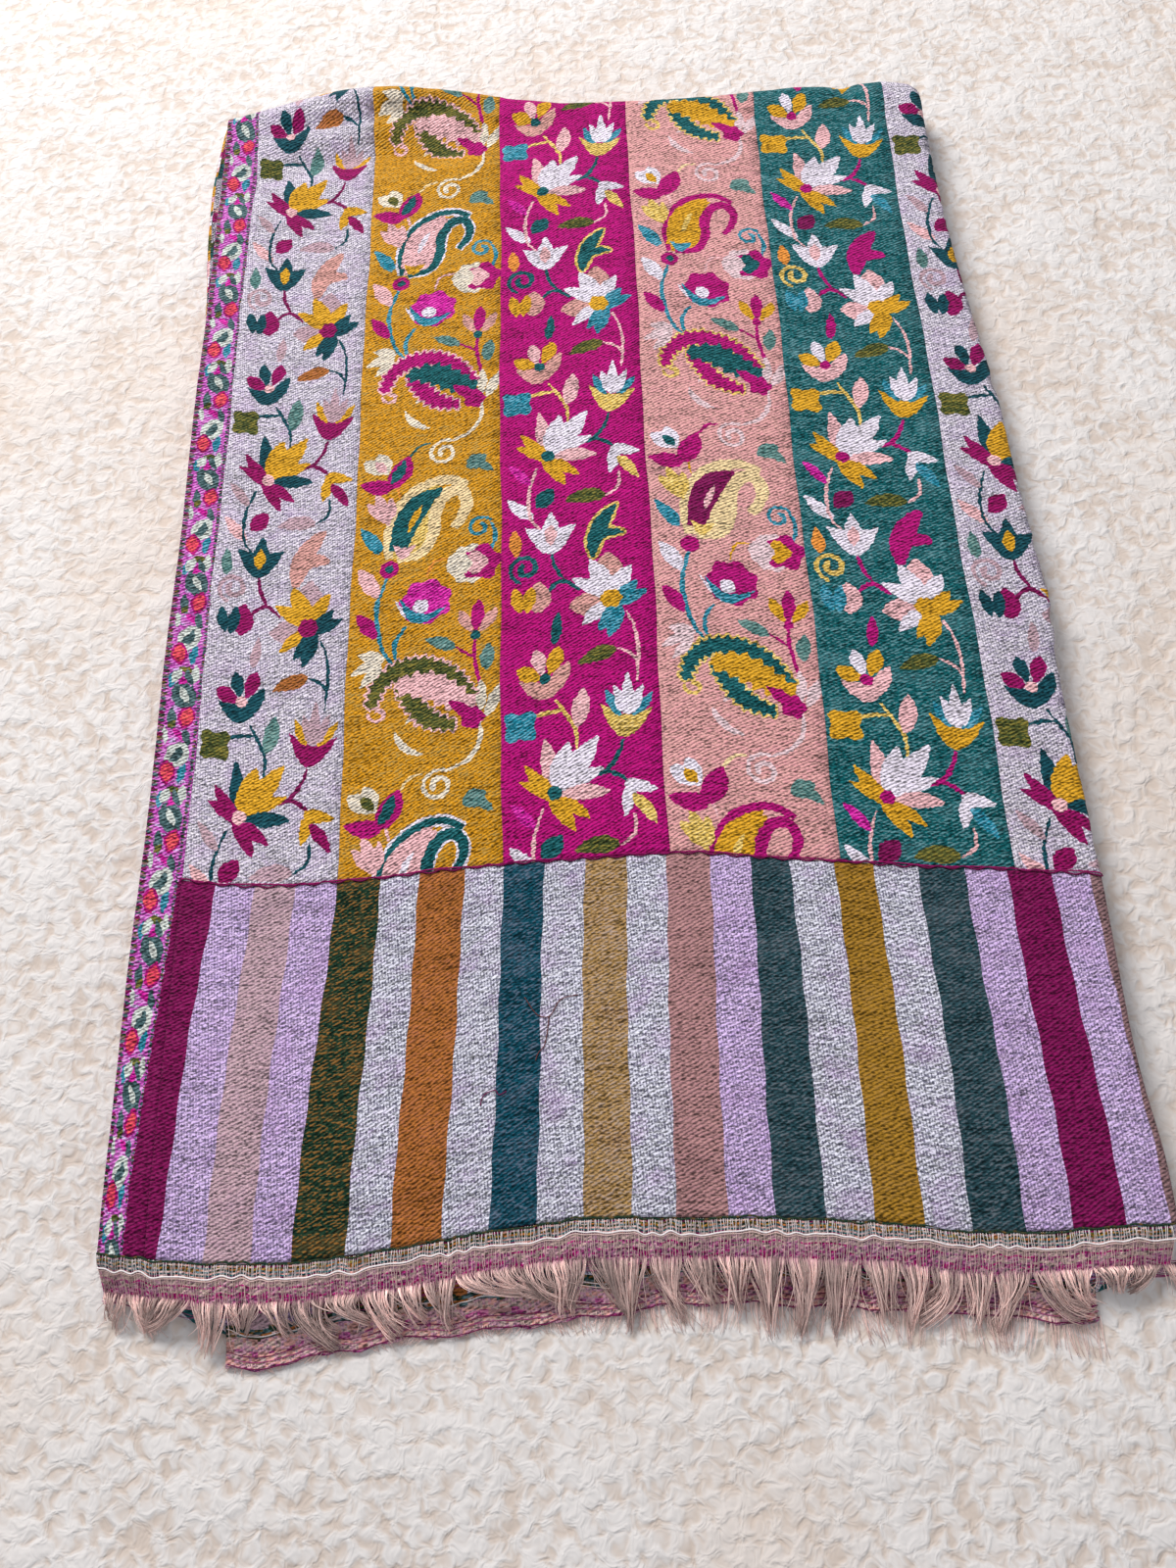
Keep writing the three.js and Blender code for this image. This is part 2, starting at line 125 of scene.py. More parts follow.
# Motifs of the hidden layers, as they show along the folds: yarn, pitch and phase
LIP_MOTIFS = (
    ("olive", 6.1, 0.4), ("pink", 4.7, 1.3), ("teal", 5.3, 2.9), ("magenta", 4.3, 4.4), ("white", 3.9, 5.2),
)
# The hidden layers under the front slope: shares of the way from the floor line to the hem, how far they
# draw in at the sides, and how much deeper they lie between
FRONT_ROWS = (0.72, 0.54, 0.36, 0.18, 0)
SLOPE_INSET = 40
SLOPE_SLACK = 0.6

# The weave's repeat and columns
EDGE_STEP = 2.0  # between points along a sheet's outline
FIELD_REACH = 404  # more than the field's length from the seam
FOLD_X = 150.0  # where lines are read for the right-hand fold
FIELD_GRID = 5.0  # between a sheet's inner points
BAND_GRID = 4.0
REPEATS = range(-1, 3)  # from the repeat that the seam cuts to the one in the back fold
REPEAT = 145.5
COLUMN = 58
COLUMN_EDGES = (-155.4, -100.5, -42.5, 16.2, 75.0, 133.8, 192.6)
KNOT_STEP = 0.95  # length of one woven step along a motif's outline
KNOT_STRAY = 0.36  # and how far it strays
NEAR = 1e-5  # points closer than this are one
RIM_STEP = 1.2
RIM_CLEAR = 0.004  # share of the way inwards that inner points keep off a sheet's outline
TOOTH = (0.0, 0.35, 1.0)  # one tooth of a saw edge, as shares of its depth

# Yarns: colour, colour of the threads that show between, how much they show, and how open the weave is
YARNS = {
    "field_white": ("#E4DCE8", "#7A6E94", 0.6, 0.75),
    "field_mustard": ("#D2921A", "#5A6A4E", 0.6, 0),
    "field_magenta": ("#B40C72", "#700E5C", 0.5, 0),
    "field_pink": ("#D9A19E", "#A05A72", 0.5, 0),
    "field_teal": ("#065A60", "#86A0A8", 0.4, 0),
    "white": ("#E6DDEA", "#9A8FB0", 0.4, 0.1),
    "lilac": ("#D6BCE6", "#8468AC", 0.5, 0.85),
    "gauze": ("#DCDBE8", "#706E90", 0.45, 1),
    "cream": ("#E2C89A", "#B98E5A", 0.3, 0),
    "pink": ("#E0AEB2", "#B87F8C", 0.25, 0),
    "dusty": ("#CC978F", "#9A5566", 0.3, 0),
    "beige": ("#C2A3AC", "#80586C", 0.5, 0.2),
    "mustard": ("#D29A22", "#8F7A3C", 0.35, 0),
    "pale_mustard": ("#D9B55A", "#C9C2A8", 0.35, 0),
    "orange": ("#D98A3A", "#A5583C", 0.3, 0),
    "orange_brown": ("#A8662E", "#6A4048", 0.45, 0),
    "olive": ("#45502A", "#A38A34", 0.5, 0),
    "dark_green": ("#1A3A2A", "#A86A28", 0.6, 0),
    "teal": ("#0B5257", "#4A7F86", 0.3, 0),
    "bright_teal": ("#1B7F97", "#A9B7C2", 0.3, 0),
    "grey_teal": ("#4E7A78", "#9DA79F", 0.4, 0),
    "stripe_teal": ("#06485A", "#9A7A8A", 0.25, 0),
    "worn_teal": ("#26464F", "#7A7076", 0.4, 0),
    "navy": ("#0D424E", "#2C5A62", 0.35, 0),
    "pale_pink": ("#DCC2C8", "#C08E98", 0.4, 0),
    "ivory": ("#DCD2C4", "#B9924A", 0.35, 0),
    "magenta": ("#A80F6C", "#7C1660", 0.3, 0),
    "plum": ("#8E0D58", "#5E1650", 0.35, 0),
    "bright_magenta": ("#C11592", "#D070B4", 0.3, 0),
    "wine": ("#780A4E", "#5C2C48", 0.4, 0),
    "mauve": ("#8E6E70", "#5C404E", 0.45, 0),
    "band": ("#BE4BB2", "#D9B6DC", 0.55, 0),
    "slate": ("#3C585C", "#8A9AA0", 0.35, 0),
    "coral": ("#D03A58", "#E08A4A", 0.35, 0),
    "pale_green": ("#C7CBC6", "#8AA09C", 0.35, 0),
    "stripe_tan": ("#A88450", "#8A8A98", 0.5, 0.1),
    "stripe_pink": ("#AC8080", "#6E4858", 0.45, 0),
    "stripe_mustard": ("#9E7424", "#5C4A3A", 0.45, 0),
    "weft": ("#A63C7C", "#D0A0AE", 0.5, 0.5),
    "warp": ("#D2B6AC", "#9A6E7A", 0.5, 0.4),
    "fringe": ("#F8D9D2", "#C99AA0", 0.3, 0),
    "fringe_root": ("#CC9EAA", "#9A4F78", 0.45, 0.5),
    "white_thread": ("#FAF2F4", "#D8C8D2", 0.2, 0),
    "brown_thread": ("#6E3A38", "#9A6A5C", 0.2, 0),
}


def paint(code):
    """A colour code as linear red, green and blue, by the sRGB curve."""
    c = np.array([int(code[i:i + 2], 16) for i in (1, 3, 5)]) / 255
    return np.where(c <= 0.04045, c / 12.92, ((c + 0.055) / 1.055) ** 2.4)


YARN_NAMES = list(YARNS)
SHOWN = np.array([(*paint(shown), gauze) for shown, between, share, gauze in YARNS.values()])
BETWEEN = np.array([(*paint(between), share) for shown, between, share, gauze in YARNS.values()])
number_of = YARN_NAMES.index


def numbers_of(names):
    """The numbers of yarns, by which a mesh knows them."""
    return np.array([number_of(name) for name in names])


def smooth(t):
    return t * t * (3 - 2 * t)


def mix(a, b, t):
    return a + (b - a) * t


def through(table):
    """A smooth function through a table's rows: cubics, whose slope at a row is that between its
    neighbours."""
    at, value = np.array(table, float).T
    behind = np.maximum(np.arange(len(at)) - 1, 0)
    ahead = np.minimum(np.arange(len(at)) + 1, len(at) - 1)
    slope = (value[ahead] - value[behind]) / (at[ahead] - at[behind])

    def curve(x):
        c = np.clip(x, at[0], at[-1])
        i = np.clip(np.searchsorted(at, c, side="right") - 1, 0, len(at) - 2)
        width = at[i + 1] - at[i]
        t = (c - at[i]) / width
        bow = width * t * (1 - t) * (slope[i] * (1 - t) - slope[i + 1] * t)
        return mix(value[i], value[i + 1], smooth(t)) + bow

    return curve


hem_y = through(HEM_LINE)
seam_y = through(SEAM_LINE)
back_y = through(BACK_LINE)
floor_y = through(FLOOR_LINE)
right_x = through(RIGHT_FOLD)
left_x = through(LEFT_FOLD)
fringe_length = through(FRINGE_LENGTH)


def swelling(table, x, y):
    """The sum of soft bumps: each is height times exp(-a^2 - b^2) in its own turned half widths."""
    total = np.zeros(np.broadcast(x, y).shape)
    for at_x, at_y, along, across, turn, height in table:
        c, s = math.cos(math.radians(turn)), math.sin(math.radians(turn))
        a = ((x - at_x) * c + (y - at_y) * s) / along
        b = ((y - at_y) * c - (x - at_x) * s) / across
        total = total + height * np.exp(-a * a - b * b)
    return total


def face_height(x, y):
    """Height of the top layer's face, and in front of the hem that of its fringe, which falls to the
    floor line."""
    hem = hem_y(x)
    inside = np.maximum(y, hem)
    rising = smooth(np.clip(inside / back_y(x), 0, 1))
    height = mix(STACK_FRONT, STACK_BACK, rising) + swelling(SWELLS, x, inside)
    height = height - HEM_DROP * np.exp(-(((inside - hem) / HEM_DROP_REACH) ** 2))
    fallen = np.clip((hem - y) / (hem - floor_y(x)), 0, 1)
    return mix(height, UNDER + CLOTH, (1 - np.cos(np.pi * fallen)) / 2)


def middle_height(x, y):
    """Middle plane of the hidden layers: half the stack, and lower by one layer at the hem."""
    near = 1 - smooth(np.clip((y - hem_y(x)) / MIDDLE_REACH, 0, 1))
    return face_height(x, y) / 2 - UNDER * near


def relief(x, y):
    """The top layer's creases and small waves: listed bumps, and slow sines that cross one another."""
    waves = 0.16 * np.sin(x / 9.5 + 1.7 * np.sin(y / 31)) * np.sin(y / 15 + 0.8 * np.sin(x / 23))
    fine = 0.07 * np.sin(y / 3.1 + 2.2 * np.sin(x / 13) + x / 17)
    return swelling(CREASES, x, y) + waves + fine


# The band's box starts at its left edge and where the hem is lowest on it, at its right-hand side
band_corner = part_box("side_band")[0]
SHIFT = (band_corner.x * 1000 - BAND_LEFT, band_corner.y * 1000 - float(hem_y(BAND_LEFT + BAND_WIDTH)), 0)


def to_frame(points):
    """From millimetres about the hem's middle to the frame's metres."""
    return (np.asarray(points, float) + SHIFT) * 0.001


def on_top(cloth_x, cloth_y, down=0.0):
    """Lays cloth on the stack. It is flat up to the right-hand fold, whose arc it follows for its length
    over, and up to the back fold, round whose middle plane it turns by its length over the radius."""
    y = np.minimum(cloth_y, back_y(np.minimum(cloth_x, right_x(cloth_y) - LIP_OUT)))
    edge = right_x(y) - LIP_OUT
    x = np.minimum(cloth_x, edge)
    y = np.minimum(cloth_y, back_y(x))
    middle = middle_height(x, y)
    radius = face_height(x, y) - middle
    turn = np.clip((cloth_y - y) / radius, 0, BACK_WRAP)
    angle = np.clip((cloth_x - x) / LIP_ROUND, 0, SIDE_WRAP)
    near_fold = np.cos(angle) * (1 - CREASE_FADE * np.sin(turn / 2))
    depth = down - relief(x, np.minimum(cloth_y, y + CREASE_REACH)) * near_fold
    rise = radius * (1 - LIP_SHARE + LIP_SHARE * np.cos(angle)) - depth * np.cos(angle)
    out = x + (LIP_OUT - depth) * np.sin(angle)
    return np.stack([out, y + rise * np.sin(turn), middle + rise * np.cos(turn)], -1)


def back_end(x):
    """Cloth length along y where the turn round the back fold ends."""
    y = back_y(x)
    return y + BACK_WRAP * (face_height(x, y) - middle_height(x, y))


# Outlines of woven motifs, each a yarn's name and a closed row of points in millimetres
def path(points, step=0.6):
    """A smooth path through points, by cubics over the chord lengths."""
    points = np.array(points, float)
    chord = np.concatenate([[0], np.cumsum(np.hypot(*np.diff(points, axis=0).T))])
    at = np.linspace(0, chord[-1], max(int(chord[-1] / step), 4))
    return np.stack([through(np.stack([chord, points[:, i]], 1))(at) for i in (0, 1)], 1)


def ribbon(spine, half):
    """The outline at a half width to both sides of a spine."""
    ahead = np.gradient(spine, axis=0)
    ahead = ahead / np.hypot(*ahead.T)[:, None]
    across = np.stack([-ahead[:, 1], ahead[:, 0]], 1) * np.asarray(half)[:, None]
    return np.concatenate([spine + across, (spine - across)[::-1]])


def leaf(yarn, u, v, long, wide, turn, bend=0, belly=1.0):
    """A petal or leaf from its base: a spine that turns by bend over its length, and a half width that
    goes as the sine of half a turn. A belly under 1 is widest near the base."""
    t = np.linspace(0, 1, 16)
    heading = np.radians(turn + bend * (t - 0.5))
    steps = np.stack([np.cos(heading), np.sin(heading)], 1) * long / 15
    spine = np.array([u, v]) + np.cumsum(steps, axis=0) - steps
    half = wide / 2 * np.sin(np.pi * np.clip(t, 0.02, 0.98) ** belly) ** 0.75
    return yarn, ribbon(spine, half)


def disc(yarn, u, v, across, lobes=0, depth=0.0, turn=0):
    """A round or lobed form: its radius swings by depth, lobes times round."""
    angle = np.linspace(0, 2 * np.pi, 40, endpoint=False)
    radius = across / 2 * (1 + depth * np.cos(lobes * (angle - math.radians(turn))))
    return yarn, np.stack([u + radius * np.cos(angle), v + radius * np.sin(angle)], 1)


def vine(yarn, wide, *points):
    """A stem through points, thinner at its ends."""
    spine = path(points)
    t = np.linspace(0, 1, len(spine))
    return yarn, ribbon(spine, wide / 2 * (0.55 + 0.45 * np.sin(np.pi * t)))


def curl(yarn, u, v, across, turns, wide, start, way=1):
    """A spiral stroke from outside inwards, whose radius falls evenly."""
    t = np.linspace(0, 1, 60)
    angle = math.radians(start) + way * 2 * np.pi * turns * t
    radius = across / 2 * (1 - 0.78 * t)
    spine = np.stack([u + radius * np.cos(angle), v + radius * np.sin(angle)], 1)
    return yarn, ribbon(spine, wide / 2 * (0.7 + 0.5 * t))


def cup(yarn, u, v, wide, tall, thick, turn=0):
    """A crescent with its horns up: between a parabola and one that is thick above it at its middle."""
    s = np.linspace(-1, 1, 19)
    low = np.stack([wide / 2 * s, tall * (s * s - 0.5)], 1)
    high = low + np.stack([-0.10 * wide * s * (1 - s * s), thick * (1 - s * s)], 1)
    c, w = math.cos(math.radians(turn)), math.sin(math.radians(turn))
    outline = np.concatenate([low, high[::-1]]) @ np.array([[c, w], [-w, c]])
    return yarn, outline + (u, v)


def bar(yarn, start, middle, end, *points):
    """A stroke along a path, whose half width goes from start over middle to end."""
    spine = path(points)
    t = np.linspace(0, 1, len(spine))
    return yarn, ribbon(spine, mix(mix(start, end, t), middle, np.sin(np.pi * t)))


def moved_out(outline, by):
    """An outline moved out across its own way, by one distance or by one for each point."""
    ahead = np.roll(outline, -1, 0) - np.roll(outline, 1, 0)
    out = np.stack([ahead[:, 1], -ahead[:, 0]], 1) / np.hypot(*ahead.T)[:, None]
    area = np.sum(outline[:, 0] * np.roll(outline[:, 1], -1) - outline[:, 1] * np.roll(outline[:, 0], -1))
    return outline + out * by * np.sign(area)


def grown(yarn, shape, by):
    """A shape with an even rim added, in another yarn."""
    return yarn, moved_out(evened(shape[1], RIM_STEP), by)


def toothed(shape, pitch, depth):
    """A shape with a saw edge: its outline moves out and back by depth once in each pitch."""
    outline = evened(shape[1], pitch / len(TOOTH))
    return shape[0], moved_out(outline, depth * np.resize(TOOTH, len(outline))[:, None])


def evened(outline, step):
    """The same outline with points an even step apart."""
    ring = np.concatenate([outline, outline[:1]])
    chord = np.concatenate([[0], np.cumsum(np.hypot(*np.diff(ring, axis=0).T))])
    at = np.linspace(0, chord[-1], max(int(chord[-1] / step), 5), endpoint=False)
    return np.stack([np.interp(at, chord, ring[:, i]) for i in (0, 1)], 1)


# The lily design, on the magenta, white and teal columns, in the order that its shapes lie: stems and cups,
# then leaves and petals from their bases, and hearts on top. A row is how it is drawn, its part and numbers.
LILY_UNDER = (
    (vine, "bell_stem", 1.6, (20.2, 62), (23.4, 56.4), (27, 49), (27.4, 41)),
    (vine, "bell_stem", 1.7, (11, 55.6), (17, 57), (23.4, 57.4)),
    (vine, "vine", 1.3, (46.6, 97), (49.6, 90), (51, 80), (50.2, 67)),
    (vine, "vine", 1.3, (50.8, 75), (47.6, 79), (42.6, 81.2)),
    (vine, "stem", 1.9, (44, 44), (42.6, 39), (37.8, 32), (31, 30.6), (25, 27.6)),
    (vine, "stem", 1.8, (37.8, 32), (41.4, 30.6), (45.6, 27.6)),
    (vine, "vine", 1.4, (14.8, 20), (11.8, 12), (10.6, 5), (11.4, -4.5), (15, -9.5)),
    (vine, "vine", 1.3, (46.8, 15.4), (46.2, 8), (41, 3.8)),
    (vine, "stem", 1.7, (19.4, 126), (20.6, 119), (24, 112.4)),
    (vine, "stem", 1.9, (17.2, 107.4), (20.4, 111), (24, 112), (29.6, 107.4)),
    (disc, "square", 7, 52.5, 12.4, 4, 0.2, 45), (cup, "bell_cup", 15.6, 66.4, 18, 8.4, 7.6, -2),
    (cup, "cup", 45, 51.2, 19.4, 13, 8.8, -8), (cup, "tulip", 19, 131, 20, 13, 11.4, 0),
    (curl, "spiral", 9.4, 119.2, 13, 1.4, 2.2, -106, -1),
)
LILY_OVER = (
    (leaf, "tulip_heart", 18.9, 128.4, 9.4, 4.8, 89), (disc, "bell_dot", 16.6, 71, 4.6),
    (disc, "lily_dot", 19.2, 25.2, 5.4), (disc, "big_dot", 41.2, 102.6, 8, 6, 0.08),
)
LILY_LEAVES = (
    # part, u, v, long, wide, turn, bend, belly
    ("bell_side", 16, 70.9, 11, 6.4, 153, -14, 1.3), ("bell_up", 16, 71.6, 12.2, 5.4, 104, 0, 1.4),
    ("bell_side", 17.8, 72.2, 12.4, 6.2, 71, 10, 1.3), ("bell_cup", 17.6, 65.4, 14.5, 6, 58, 22, 0.8),
    ("bud", 27.4, 50.2, 16, 6.6, 80, 12, 0.9), ("leaf", 42.8, 80.9, 15, 6.4, 200, 24, 0.7),
    ("inner", 43.4, 53.6, 12, 3.8, 113, -18, 0.8), ("inner", 47.4, 53.2, 12.2, 3.8, 48, 14, 0.8),
    ("spike", 44.8, 54.2, 12.2, 4.2, 106, 12, 0.7), ("spike", 47.4, 54.2, 12.6, 4.2, 66, -12, 0.7),
    ("spike", 46.1, 53.6, 17.4, 5, 88, 0, 0.6), ("lily_up", 18.6, 25.6, 21.6, 6.4, 98, 8, 0.8),
    ("jag", 19.6, 26.6, 18.6, 8.6, 76, 6, 0.8), ("jag", 19.8, 26.4, 24.6, 9, 52, 6, 0.8),
    ("jag", 20.4, 26.2, 18.2, 6, 23, -6, 0.8), ("lily_right", 21.2, 24.4, 17.6, 6.2, -1, -10, 0.9),
    ("claw", 20, 22.6, 15.8, 5, 150, 16, 0.7), ("claw", 19.6, 24, 17, 5.2, 130, -18, 0.8),
    ("claw", 16.6, 24, 16.4, 5.6, -58, -18, 0.9), ("claw", 18.2, 23, 15.6, 5.2, -34, -26, 0.8),
    ("two_tone", 44.2, 26.9, 12, 5.2, -13, 12, 0.7), ("two_tone", 46.4, 27, 13, 5, -104, -10, 0.8),
    ("two_petal", 46.8, 22.4, 13.6, 4.8, -56, -14, 0.8), ("fish", 40.8, 4, 16.4, 6.6, 186, 34, 0.75),
    ("small_leaf", 11.6, 12, 13.2, 4.4, 129, 8, 0.8), ("navy_leaf", 13.4, 0.8, 10.8, 7.4, 50, 10, 1),
    ("white_leaf", 12.4, 141.2, 14.8, 5.2, 134, -14, 0.8), ("tulip", 18.9, 126, 17.6, 8.2, 89, 0, 0.6),
    ("orange_bud", 5.8, 125, 11.8, 5, 95, 6, 0.8), ("curled", 35.2, 121.4, 26.4, 6.6, 66, -48, 0.9),
    ("curled", 35.4, 129.6, 13.2, 4.4, 8, -60, 0.7), ("small_b", 13.6, 99, 13.6, 9.4, 88, 6, 0.9),
    ("small_a", 7, 99.6, 11.6, 5, 100, 0, 1), ("small_a", 9.4, 99.2, 12, 5, 80, 0, 1),
    ("big_pink", 41, 104, 19.6, 11.4, 90, 0, 1.1), ("big_pink", 40.6, 101.8, 15.2, 10, 184, -8, 1.1),
    ("big_white", 40.8, 103.4, 18.8, 8, 112, 12, 0.8), ("big_white", 40.8, 103.6, 16.6, 6.4, 148, 14, 0.8),
    ("big_white", 41.8, 103.4, 15.8, 6.6, 60, -14, 0.9), ("big_white", 41, 101.6, 14.4, 5.6, -138, 12, 0.9),
    ("big_dark", 42.2, 100.8, 13.2, 5.6, 46, 10, 0.8), ("big_dark", 42.4, 100.4, 14, 5.4, 24, 10, 0.8),
    ("big_dark", 43.4, 101, 14, 5.8, -122, -16, 0.8),
    ("big_dark", 43.8, 101.4, 16, 6.4, -104, -12, 0.8), ("dark_leaf", 19.8, 85.4, 13.2, 4.2, 84, 8, 0.8),
)
# Which yarn each part has on the magenta, white and teal columns; where two are given, teal has the first
LILY_YARNS = {
    "square": ("bright_teal", "olive", "mustard"),
    "bell_side": ("mustard", "plum"),
    "bell_up": ("pink", "navy", "white"),
    "bell_cup": ("dusty", "navy", "pink"),
    "bell_dot": ("teal", "pink", "magenta"),
    "bell_stem": ("pale_mustard", "navy"),
    "bud": ("pink", "grey_teal"),
    "leaf": ("olive", "orange_brown"),
    "fish": ("olive", "beige"),
    "cup": ("pale_mustard", "plum", "mustard"),
    "inner": ("bright_teal", "mustard"),
    "spike": ("white", "beige"),
    "stem": ("teal", "wine", "magenta"),
    "vine": ("pink", "navy"),
    "lily_up": ("pink", "navy"),
    "jag": ("white", "mustard"),
    "lily_right": ("pink", "navy"),
    "claw": ("mustard", "plum"),
    "lily_dot": ("teal", "pink", "magenta"),
    "two_tone": ("white", "mustard"),
    "two_petal": ("pale_mustard", "plum", "bright_teal"),
    "small_leaf": ("bright_magenta", "beige"),
    "navy_leaf": ("teal", "plum", "wine"),
    "white_leaf": ("white", "pink"),
    "tulip": ("white", "navy"),
    "tulip_heart": ("pink", "mustard"),
    "orange_bud": ("orange", "grey_teal"),
    "curled": ("teal", "dusty", "magenta"),
    "curled_rim": ("pale_mustard", "dusty", "magenta"),
    "spiral": ("teal", "beige", "pale_mustard"),
    "small_a": ("mustard", "navy", "bright_teal"),
    "small_b": ("dusty", "plum", "pink"),
    "big_dot": ("mustard", "plum"),
    "big_white": ("white", "mustard"),
    "big_pink": ("dusty", "beige", "pink"),
    "big_dark": ("bright_teal", "navy", "mustard"),
    "dark_leaf": ("teal", "beige", "magenta"),
}


def drawn(chart, yarn):
    """A chart's rows as shapes, in the yarns of their parts."""
    return [draw(yarn[part], *numbers) for draw, part, *numbers in chart]


def lily_repeat(kind, start):
    """One repeat of the lily design for a column kind."""
    yarn = {part: yarns[kind % len(yarns)] for part, yarns in LILY_YARNS.items()}
    leaves = [(part, leaf(yarn[part], *numbers)) for part, *numbers in LILY_LEAVES]
    rims = [grown(yarn["curled_rim"], shape, 1.1) for part, shape in leaves if part == "curled"]
    shapes = drawn(LILY_UNDER, yarn) + rims + [shape for part, shape in leaves] + drawn(LILY_OVER, yarn)
    return [(name, outline + (0, start)) for name, outline in shapes]


# The paisley design, on the mustard and dusty pink columns. A part's yarns are for mustard even and odd
# repeats, then pink even and odd ones; two stand for the mustard and the pink column, and one for all.
PAISLEY_YARNS = {
    "arch": ("olive", "magenta", "teal", "magenta"),
    "arch_rim": ("pink", "pale_mustard"),
    "wedge": ("pink", "teal", "mustard", "teal"),
    "arch_bud": ("magenta",),
    "tear_rim": ("cream", "teal", "cream", "magenta"),
    "tear_edge": ("cream", "white", "cream", "field_pink"),
    "tear_fill": ("pale_mustard", "pink", "cream", "mustard"),
    "tear": ("teal", "pink", "wine", "mustard"),
    "tear_slit": ("mustard", "white", "pink", "pale_mustard"),
    "tear_base": ("pink", "mustard", "pale_mustard", "bright_teal"),
    "knot": ("magenta",),
    "knot_eye": ("teal", "teal", "magenta", "teal"),
    "heart": ("teal", "magenta"),
    "heart_rim": ("magenta",),
    "heart_flower": ("ivory", "white"),
    "heart_eye": ("olive", "pink", "mustard", "teal"),
    "white_curl": ("ivory", "pale_pink"),
    "grey_leaf": ("grey_teal",),
    "prong": ("pink", "pale_mustard"),
    "teal_leaf": ("bright_teal",),
    "pale_leaf": ("pink", "white"),
    "dark_leaf": ("magenta",),
    "white_leaf": ("ivory", "pale_pink"),
    "teal_curl": ("bright_teal",),
    "fan": ("ivory", "pale_pink"),
    "fan_lobe": ("magenta",),
    "fan_heart": ("pink", "pink", "mustard", "teal"),
    "round": ("bright_magenta", "magenta"),
    "round_low": ("bright_teal",),
    "round_dot": ("white",),
    "bud_mid": ("magenta",),
    "bud_side": ("dusty", "mustard"),
    "calyx": ("teal", "magenta"),
    "stem": ("bright_teal",),
    "bud_stem": ("magenta",),
    "thin": ("orange", "pink", "mustard", "pink"),
}
PAISLEY_KINDS = 4
PAISLEY_UNDER = (
    (vine, "stem", 1.9, (14.6, 124), (10.4, 110), (11.2, 98), (14.2, 88.6), (18.6, 83)),
    (vine, "stem", 1.8, (21.6, 99.6), (17.8, 93), (18.6, 85)),
    (vine, "bud_stem", 1.6, (48.2, 92), (48.2, 84), (51, 70)),
    (vine, "bud_stem", 1.3, (48.6, 83), (40.6, 88.4)),
    (vine, "thin", 1.1, (38.6, 127.6), (32, 126.6), (29.2, 119.4)),
    (vine, "thin", 1.1, (17.6, 158.4), (16.6, 163.6), (15.4, 168)),
    (vine, "tear_rim", 1.3, (20.4, 31.4), (25, 37), (29.8, 38)),
    (curl, "white_curl", 35.2, 32.6, 13, 1.5, 1.8, 60, 1),
    (vine, "white_curl", 1.8, (38.6, 38.2), (45.6, 41.6), (50, 48.4), (50.4, 57.4)),
    (leaf, "white_curl", 18.6, 56.2, 16, 3, -42, 70),
    (leaf, "white_curl", 22.6, 58.6, 12, 2.6, 20, -60),
    (leaf, "white_leaf", 52.2, 58.6, 14, 4.6, 64, 10), (leaf, "white_leaf", 50.4, 60.4, 13, 4.4, 88, 10),
    (curl, "teal_curl", 49.4, 140.4, 10.4, 1.2, 1.8, 30, 1),
    (vine, "teal_curl", 1.9, (53.8, 142.4), (55.6, 136), (53.6, 128.4)),
    (disc, "fan", 45.8, 124.2, 17, 9, 0.06), (disc, "fan_lobe", 50.4, 124.4, 15, 5, 0.14, 10),
    (disc, "fan_heart", 47.8, 124.6, 9.6, 4, 0.12), (disc, "fan", 41.6, 124.4, 9.6, 6, 0.06),
    (cup, "round_dot", 26.6, 104.8, 22, 9, 5, -14), (disc, "round", 29.2, 109.4, 19, 7, 0.09, 20),
    (cup, "round_low", 27, 104.8, 19.4, 9.6, 4.4, -16), (disc, "round_dot", 27.2, 107.6, 6),
)
ARCH = ((9.6, 66.8), (12.8, 76), (20, 81.4), (30, 81.6), (40, 76.6), (47.6, 67.6))
LOBE = ((20.6, 73), (25.4, 66.6), (31.4, 59.6), (40.6, 56))
WEDGE = ((19.4, 74.6), (30, 73.8), (40, 68), (47.4, 63))
TEAR = ((17.2, 133.6), (20.6, 146.6), (26.4, 155.4), (34.6, 160.6))
TAIL = (
    (17.4, 130), (26.6, 131.8), (30.6, 140), (31.4, 149.6), (35.4, 157.2), (41.4, 158.8), (44.2, 153.2),
    (42.4, 146.6), (38.8, 141.6),
)
TAIL_OVER = ((14.6, 130.4), (13.8, 143), (19.4, 156.2), (27.4, 162.6), (37, 164.4), (44.4, 160.8))
PAISLEY_BUDS = (
    (leaf, "arch_bud", 38.6, 66, 13, 5, -36), (disc, "arch_bud", 47.4, 58.4, 9, 5, 0.12),
    (bar, "tear_edge", 2, 2.6, 2.2, *TAIL_OVER), (bar, "tear_edge", 2, 2.9, 2, *TAIL),
)
PAISLEY_TEAR = (
    (bar, "tear_rim", 1.1, 1.6, 1.3, *TAIL_OVER), (bar, "tear_rim", 1.4, 2.2, 1.2, *TAIL),
    (bar, "tear", 3.6, 5.4, 0.5, *TEAR), (leaf, "tear_slit", 21.2, 141.6, 13, 2.6, 66, -20),
    (cup, "tear_base", 19.6, 133, 9.6, 6.4, 5, -6), (disc, "knot", 14.6, 125.6, 7.6),
    (disc, "knot_eye", 14.8, 125.8, 3.4),
)
